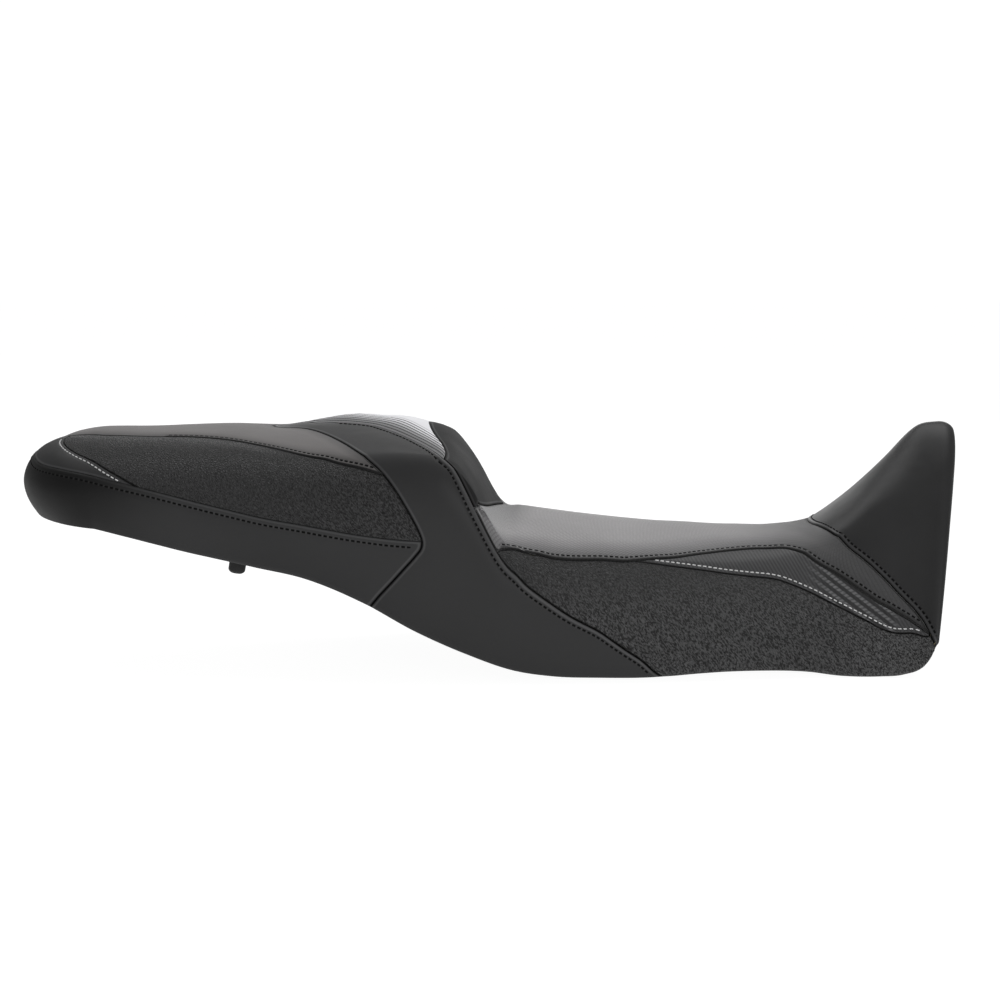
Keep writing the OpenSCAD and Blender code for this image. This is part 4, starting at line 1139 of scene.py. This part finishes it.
def foam(material):
    """The block of foam under the cover, down to the pan."""
    stations = np.concatenate([np.arange(TAIL_X, PAN_FRONT, 6.0), [PAN_FRONT, FOAM_FRONT]])[::-1]
    w, lift = np.linspace(0, FOAM_PLACE, 40), PAN_WALL + FOAM_GAP

    def row(q, side):
        top = cover(q, -w) - FOAM_DEPTH * outward(q, -w)
        turn = math.radians(max(0.0, TAIL_X - q))
        x = min(max(q, TAIL_X), PAN_FRONT)
        half = float(pan_half(x))
        step = half - RIM_WIDTH + FOAM_STEP
        c = np.array([half, step, step - STEP_RUN, half / 3, 0])
        if q < TAIL_X:
            px = TAIL_X - c * math.sin(turn) * (TAIL_HALF * TAIL_SQUASH - PAN_INSET) / half
            z = rim_z(px) + lift
        else:
            px = np.full(5, x)
            z = np.array([rim_z(x)] * 2 + [floor_z(x)] * 3, float) + lift
        bottom = np.stack([px, -c * math.cos(turn), z], -1)
        rows = np.concatenate([top, bottom])
        rows[[0, -1], 1] = 0
        if q < TAIL_X:                         # the tail's rows meet at the top and at the bottom
            rows[0] = (cover(TAIL_X, 0.0) - FOAM_DEPTH * outward(TAIL_X, 0.0)) * [1, 0, 1]
            rows[-1] = (TAIL_X, 0, rim_z(TAIL_X) + lift)
        return rows * [1, side, 1]

    turns = TAIL_X - np.arange(5, 91, 5.0)
    right = [row(q, 1) for q in np.concatenate([stations, turns])]
    left = [row(q, -1) for q in np.concatenate([turns[-2::-1], stations[::-1]])]
    rows = right + left
    n, m = len(rows), len(rows[0])
    faces = grid_faces(n, m, 0, True)
    front = [[j, j + 1, (n - 1) * m + j + 1, (n - 1) * m + j] for j in range(m - 1)]
    points, faces = weld(np.concatenate(rows), faces + front)
    piece = make("foam_core", points, faces, material, "foam", ["foam_core"])


def front_face(material):
    """The flat front, tucked inside the nose's rounded edge."""
    n, m = 60, 41
    y, z = section(np.array(NOSE_X), np.linspace(0.02, 0.985, n))
    y, z = np.maximum(y - TUCK_Y, 0.5)[:, None], (z - TUCK_Z)[:, None]
    share, rise = np.linspace(-1, 1, m)[None, :], np.linspace(-1, 1, n)[:, None]
    bulge = FACE_BULGE * np.cos(share * np.pi / 2) * np.sin(np.linspace(0, np.pi, n))[:, None]
    rim = np.maximum(np.abs(share), np.abs(rise))
    x = NOSE_X + NOSE_LEAN * (z - LEAN_Z) - TUCK_X + bulge
    x = x - FACE_EDGE * np.clip((rim - 0.96) / 0.04, 0, 1) ** 2
    outer = np.stack([x, y * share, np.broadcast_to(z, (n, m))], -1).reshape(-1, 3)
    points = np.concatenate([outer, outer - [FACE_WALL, 0, 0]])
    make("front_face_panel", points, shell_faces(n, m, False), material, "smooth_vinyl",
         ["front_face_panel"])


def hem_line(inset, lift, front):
    """The cover's bottom edge as a closed line of points, moved in and lifted."""
    x = np.concatenate([[front], np.arange(345, -320, -5.0)])
    side = np.stack([x, -(curve(BOTTOM_Y, x) - inset), curve(BOTTOM_Z, x) + lift], -1)
    turn = np.radians(np.linspace(0, 90, 25))
    back = TAIL_X - (TAIL_HALF * TAIL_SQUASH - inset) * np.sin(turn)
    tail = np.stack([back, -(TAIL_HALF - inset) * np.cos(turn),
                     curve(BOTTOM_Z, TAIL_X) + TAIL_RISE * (TAIL_X - back) + lift], -1)
    right = np.concatenate([side, tail])
    return np.concatenate([right, (right * MIRROR)[-2::-1]])


def hem(material):
    """The cover's cloth, folded in over the rim: a soft band with a rounded inner edge."""
    lift, outside, inside = RIM_LIFT - 1.4, 3.0, 15.0
    under = [(outside, 0.3), (3.6, 0.05), (8, 0.0), (13.6, 0.0), (14.7, 0.25)]
    over = [(inset, HEM_THICK - z) for inset, z in under[::-1]]
    rings = [hem_line(inset, lift + z,
                      HEM_FRONT - HEM_SLANT * (inset - outside) / (inside - outside))
             for inset, z in under + [(inside, HEM_THICK / 2)] + over]
    points = np.concatenate(rings)
    points[:, 2] += [0.15 * noise.noise(Vector(p / 15)) for p in points]
    make("hem_strip", points, ring_faces(len(rings), len(rings[0]), "joined"), material, "hem",
         ["hem_strip"])


def staples(material):
    """Wire staples along the hem: a crown and two legs each."""
    ends = []
    for side in (-1, 1):
        for x in np.arange(-300, 331, STAPLE_PITCH):
            slope, turn = ((curve(rows, x + 2) - curve(rows, x - 2)) / 4
                           for rows in (BOTTOM_Z, BOTTOM_Y))
            half = STAPLE_HALF * unit(np.array([1.0, side * turn, slope]))
            middle = np.array([x, side * (curve(BOTTOM_Y, x) - STAPLE_INSET),
                               curve(BOTTOM_Z, x) + STAPLE_LIFT - 2 * slope**2])
            a, b = middle - half, middle + half
            ends += [[a, b], [a, a + STAPLE_LEG], [b, b + STAPLE_LEG]]
    up = np.tile([[0.05, 1.0, 0.1]], (len(ends), 1))
    make("hem_staples", *capsules(np.array(ends), STAPLE_RADIUS, up), material, "steel_wire",
         ["hem_staples"])


def lathe(profile, sides=48, wave=None):
    """A solid of revolution about Z from (radius, height) pairs, closed at both ends."""
    turn = np.arange(sides) * 2 * np.pi / sides
    rings = []
    for r, z in profile:
        radius = r * (np.ones(sides) if wave is None else wave(turn, r))
        rings.append(np.stack([radius * np.cos(turn), radius * np.sin(turn), np.full(sides, z)],
                              -1))
    tips = [[0, 0, profile[0][1]], [0, 0, profile[-1][1]]]
    return np.concatenate(rings + [tips]), ring_faces(len(rings), sides, "tips")


def both_sides(name, place, faces, material, slot, smooth=True):
    """The same piece on the left and on the right. place gives its points for 1 and for -1."""
    for side, sign in (("left", 1), ("right", -1)):
        piece = f"{name}_{side}"
        make(piece, place(sign), faces, material, slot, [piece], smooth)


def under_floor(points, x, y):
    """Points around a place on the pan's floor, square to the floor, moved there."""
    a = -math.atan((floor_z(x + 1) - floor_z(x - 1)) / 2)
    turn = np.array([[math.cos(a), 0, math.sin(a)], [0, 1, 0], [-math.sin(a), 0, math.cos(a)]])
    return (points - [0, 0, CLEAR]) @ turn.T + [x, y, floor_z(x)]


def bumpers(material):
    """Moulded rubber bumpers: a cup with a rounded foot and a waist at its collar."""
    for name, x, y, length in (("rear", -204, 70, 31), ("middle", -34, 84, 16),
                               ("front", 98, 84, 14)):
        foot = [(r, z - length) for r, z in ((1.2, 1.2), (1.6, 0.3), (2.2, 0), (4.6, 0), (5.6, 0.6),
                                             (6.4, 1.4), (6.85, 2.2), (7, 3.2))]
        body = [(7, -4.6), (6.7, -4.2), (6.7, -3.6), (7, -3.2), (7, -0.8), (6.6, -0.3), (6.2, 0)]
        points, faces = lathe(foot + body)
        both_sides(f"bumper_{name}", lambda sign: under_floor(points, x, sign * y), faces, material,
                   "bumper_rubber")


def tongue(material, screw):
    """The cranked tongue: a steel strip with eased bends and rounded corners at its tip."""
    pad_z, back, tip = floor_z(TONGUE_X[1]) - PLATE - 0.4, TONGUE_X[0], TONGUE_X[3]
    line = np.stack([TONGUE_X, (pad_z, pad_z, TONGUE_Z, TONGUE_Z)], -1)
    share = np.linspace(0, 1, 40, endpoint=False)[:, None]
    soft = np.concatenate([mix(a, b, share) for a, b in zip(line, line[1:])] + [line[3:]])
    for _ in range(14):                         # the bends get a radius
        soft[1:-1] = (soft[:-2] + 2 * soft[1:-1] + soft[2:]) / 4
    along = unit(np.gradient(soft, axis=0))
    square = np.stack([-along[:, 1], along[:, 0]], -1)
    edge, rows = 0.35, []
    for p, n, h in zip(soft, square, TONGUE_HALF - roll(tip - soft[:, 0], 12)
                       - roll(soft[:, 0] - back, 6)):
        left = [(h - edge, 0), (h, edge), (h, PLATE - edge), (h - edge, PLATE)]
        rows += [[p[0] + n[0] * z, y, p[1] + n[1] * z]
                 for y, z in [(-y, z) for y, z in left] + left[::-1]]
    make("front_tongue", rows, ring_faces(len(soft), 8, "flat"), material, "plated_steel",
         ["front_tongue"], smooth=False)
    points, faces = lathe([(1.9, 2.0), (2.6, 2.0), (2.7, 0.25), (3.0, 0.0), (3.6, 0.0), (4.6, 0.35),
                           (5.3, 1.1), (5.5, 1.8), (5.5, 2.7), (5.3, 3.0)])
    both_sides("tongue_screw", lambda sign: points + [237, sign * 15, pad_z - 3.1], faces, screw,
               "screw_steel")


def striker(plate_material, bar_material, screw):
    """The latch's striker: a plate under the floor, a bent round bar and two nuts."""
    edge, corner, sides = 0.6, 4, 32
    outline = [(cx, cy, math.cos(a), math.sin(a))
               for cx, cy, first in ((13, 28, 0), (-13, 28, 90), (-13, -28, 180), (13, -28, 270))
               for a in np.radians(np.linspace(first, first + 90, 9))]
    points = [[cx + r * c, cy + r * s, z]
              for r, z in ((corner - edge, -PLATE), (corner, -PLATE + edge), (corner, -edge),
                           (corner - edge, 0)) for cx, cy, c, s in outline]
    make("striker_plate", under_floor(np.array(points), STRIKER_X, 0),
         ring_faces(4, len(outline), "flat"), plate_material, "plated_steel", ["striker_plate"],
         smooth=False)
    drop, half, bend = 24.0, 17.0, 9.0
    path = [(-half, z) for z in np.linspace(0, -(drop - bend), 12)]
    path += [(-half + bend - bend * math.cos(a), -(drop - bend) - bend * math.sin(a))
             for a in np.linspace(0, np.pi / 2, 14)[1:]]
    path = np.array(path + [(-y, z) for y, z in path[::-1]])
    turn = np.arange(sides) * 2 * np.pi / sides
    rings = []
    for k, (p, t) in enumerate(zip(path, unit(np.gradient(path, axis=0)))):
        radius = 3.5 if k in (0, len(path) - 1) else 4.0
        rings.append(np.stack([radius * np.cos(turn), p[0] - radius * np.sin(turn) * t[1],
                               p[1] + radius * np.sin(turn) * t[0]], -1))
    points = np.concatenate(rings + [[[0, *path[0]], [0, *path[-1]]]])
    make("latch_striker", under_floor(points + [0, 0, -PLATE - 0.1], STRIKER_X, 0),
         ring_faces(len(rings), sides, "tips"), bar_material, "striker_steel", ["latch_striker"])

    def hexagon(theta, r):
        flat = np.cos(np.pi / 6) / np.cos((theta % (np.pi / 3)) - np.pi / 6)
        return np.minimum(flat, 4.75 / r if r > 4.9 else 1.0)

    points, faces = lathe([(2.0, 1.2), (2.3, 1.2), (2.6, 0.2), (2.9, 0.0), (4.2, 0.0), (4.9, 0.45),
                           (5.0, 0.9), (5.0, 3.4), (4.9, 3.8), (4.5, 4.0)], 72, hexagon)
    both_sides("striker_nut", lambda sign: under_floor(points + [0, 0, -PLATE - 4.2], STRIKER_X,
                                                       sign * 26.5), faces, screw, "screw_steel",
               smooth=False)


def fit_out():
    """Foam, pan, hem and fittings."""
    zinc, bare = plated("zinc_plate", 0.5, 0.38, 6.0), plated("striker_steel", 0.58, 0.24, 0.3)
    screw = plated("screw_zinc", 0.56, 0.3, 1.0)
    foam(foam_material())
    seat_pan(moulded("pan_plastic", 0.016, 0.5, 900.0, 0.00008))
    hem(hem_material())
    staples(plated("staple_wire", 0.6, 0.32, 1.0))
    bumpers(moulded("bumper_rubber", 0.013, 0.62, 1500.0, 0.00006))
    tongue(zinc, screw)
    striker(zinc, bare, screw)


dress()
fit_out()


# ------------------------------------------------------------------ studio
FLOOR_GLOW = 0.8     # share of the floor that shows plain white to the camera
FLOOR_BOUNCE = 0.5   # the same share where the floor lights the seat from below
FLOOR_SHINE = 1.2    # strength of that white
ROOM_LIGHT = 0.24    # light from all around, beside the softboxes
BACKDROP = 1.05      # how bright the background shows
CAMERA_AWAY = 1.6    # from the camera to its target, in metres
PICTURE_WIDTH = 0.86       # width of the picture at the target, in metres


def softbox(name, place, aim, size, power):
    data = bpy.data.lights.new(name, "AREA")
    data.shape, data.energy = "RECTANGLE", power
    data.size, data.size_y = size
    point_at(bpy.data.objects.new(name, data), place, aim).visible_camera = False


def point_at(thing, place, aim):
    """A light or a camera in its place, turned to look at a point."""
    bpy.context.scene.collection.objects.link(thing)
    thing.location = place
    thing.rotation_euler = (Vector(aim) - thing.location).to_track_quat("-Z", "Y").to_euler()
    return thing


def studio():
    """A white floor and soft light, mostly from above and behind."""
    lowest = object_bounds()[0].z
    bpy.ops.mesh.primitive_plane_add(size=40, location=(0, 0, lowest - 0.0005))
    floor = bpy.context.object
    floor.name = "floor"
    m = Shader("floor_white", 0.9, 0.95, specular=0.0)
    m.fill(m.bsdf, {"Base Color": m.color(m.noise(m.place(), 1.5, 2.0), 0.89, 0.91)})
    seen = m.through("ShaderNodeLightPath", (), "Is Camera Ray")
    glow = m.through("ShaderNodeEmission", {"Strength": FLOOR_SHINE})
    both = m.through("ShaderNodeMixShader", (seen.ramp(0.0, 1.0, FLOOR_BOUNCE, FLOOR_GLOW),
                                             m.bsdf.outputs[0], glow))
    m.fill(m.out, {"Surface": both})
    floor.data.materials.append(m.material)
    floor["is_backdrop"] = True
    world = bpy.data.worlds.new("studio")
    bpy.context.scene.world = world
    world.use_nodes = True
    tree = world.node_tree
    sky, seen, strength = (tree.nodes["Background"], tree.nodes.new("ShaderNodeLightPath"),
                           tree.nodes.new("ShaderNodeMapRange"))
    tree.links.new(seen.outputs["Is Camera Ray"], strength.inputs[0])
    strength.inputs[3].default_value = ROOM_LIGHT
    strength.inputs[4].default_value = BACKDROP
    tree.links.new(strength.outputs[0], sky.inputs["Strength"])
    sky.inputs["Color"].default_value = rgba(1)
    softbox("top", (0.1, 0.5, 2.1), (0, 0, 0.1), (3.0, 1.6), 34)
    softbox("back", (0.2, 2.4, 0.75), (0, 0, 0.15), (2.6, 1.2), 12)
    softbox("front", (1.1, -1.9, 0.55), (0.1, 0, 0.08), (1.3, 0.5), 9)
    target, elevation = Vector((0.0086, 0, 0.133)), math.radians(7)
    place = target + Vector((0, -math.cos(elevation), math.sin(elevation))) * CAMERA_AWAY
    camera = point_at(bpy.data.objects.new("camera", bpy.data.cameras.new("camera")), place, target)
    camera.data.sensor_width = 36
    camera.data.lens = camera.data.sensor_width * CAMERA_AWAY / PICTURE_WIDTH
    bpy.context.scene.camera = camera
    bpy.context.scene.view_settings.view_transform = "Standard"


studio()
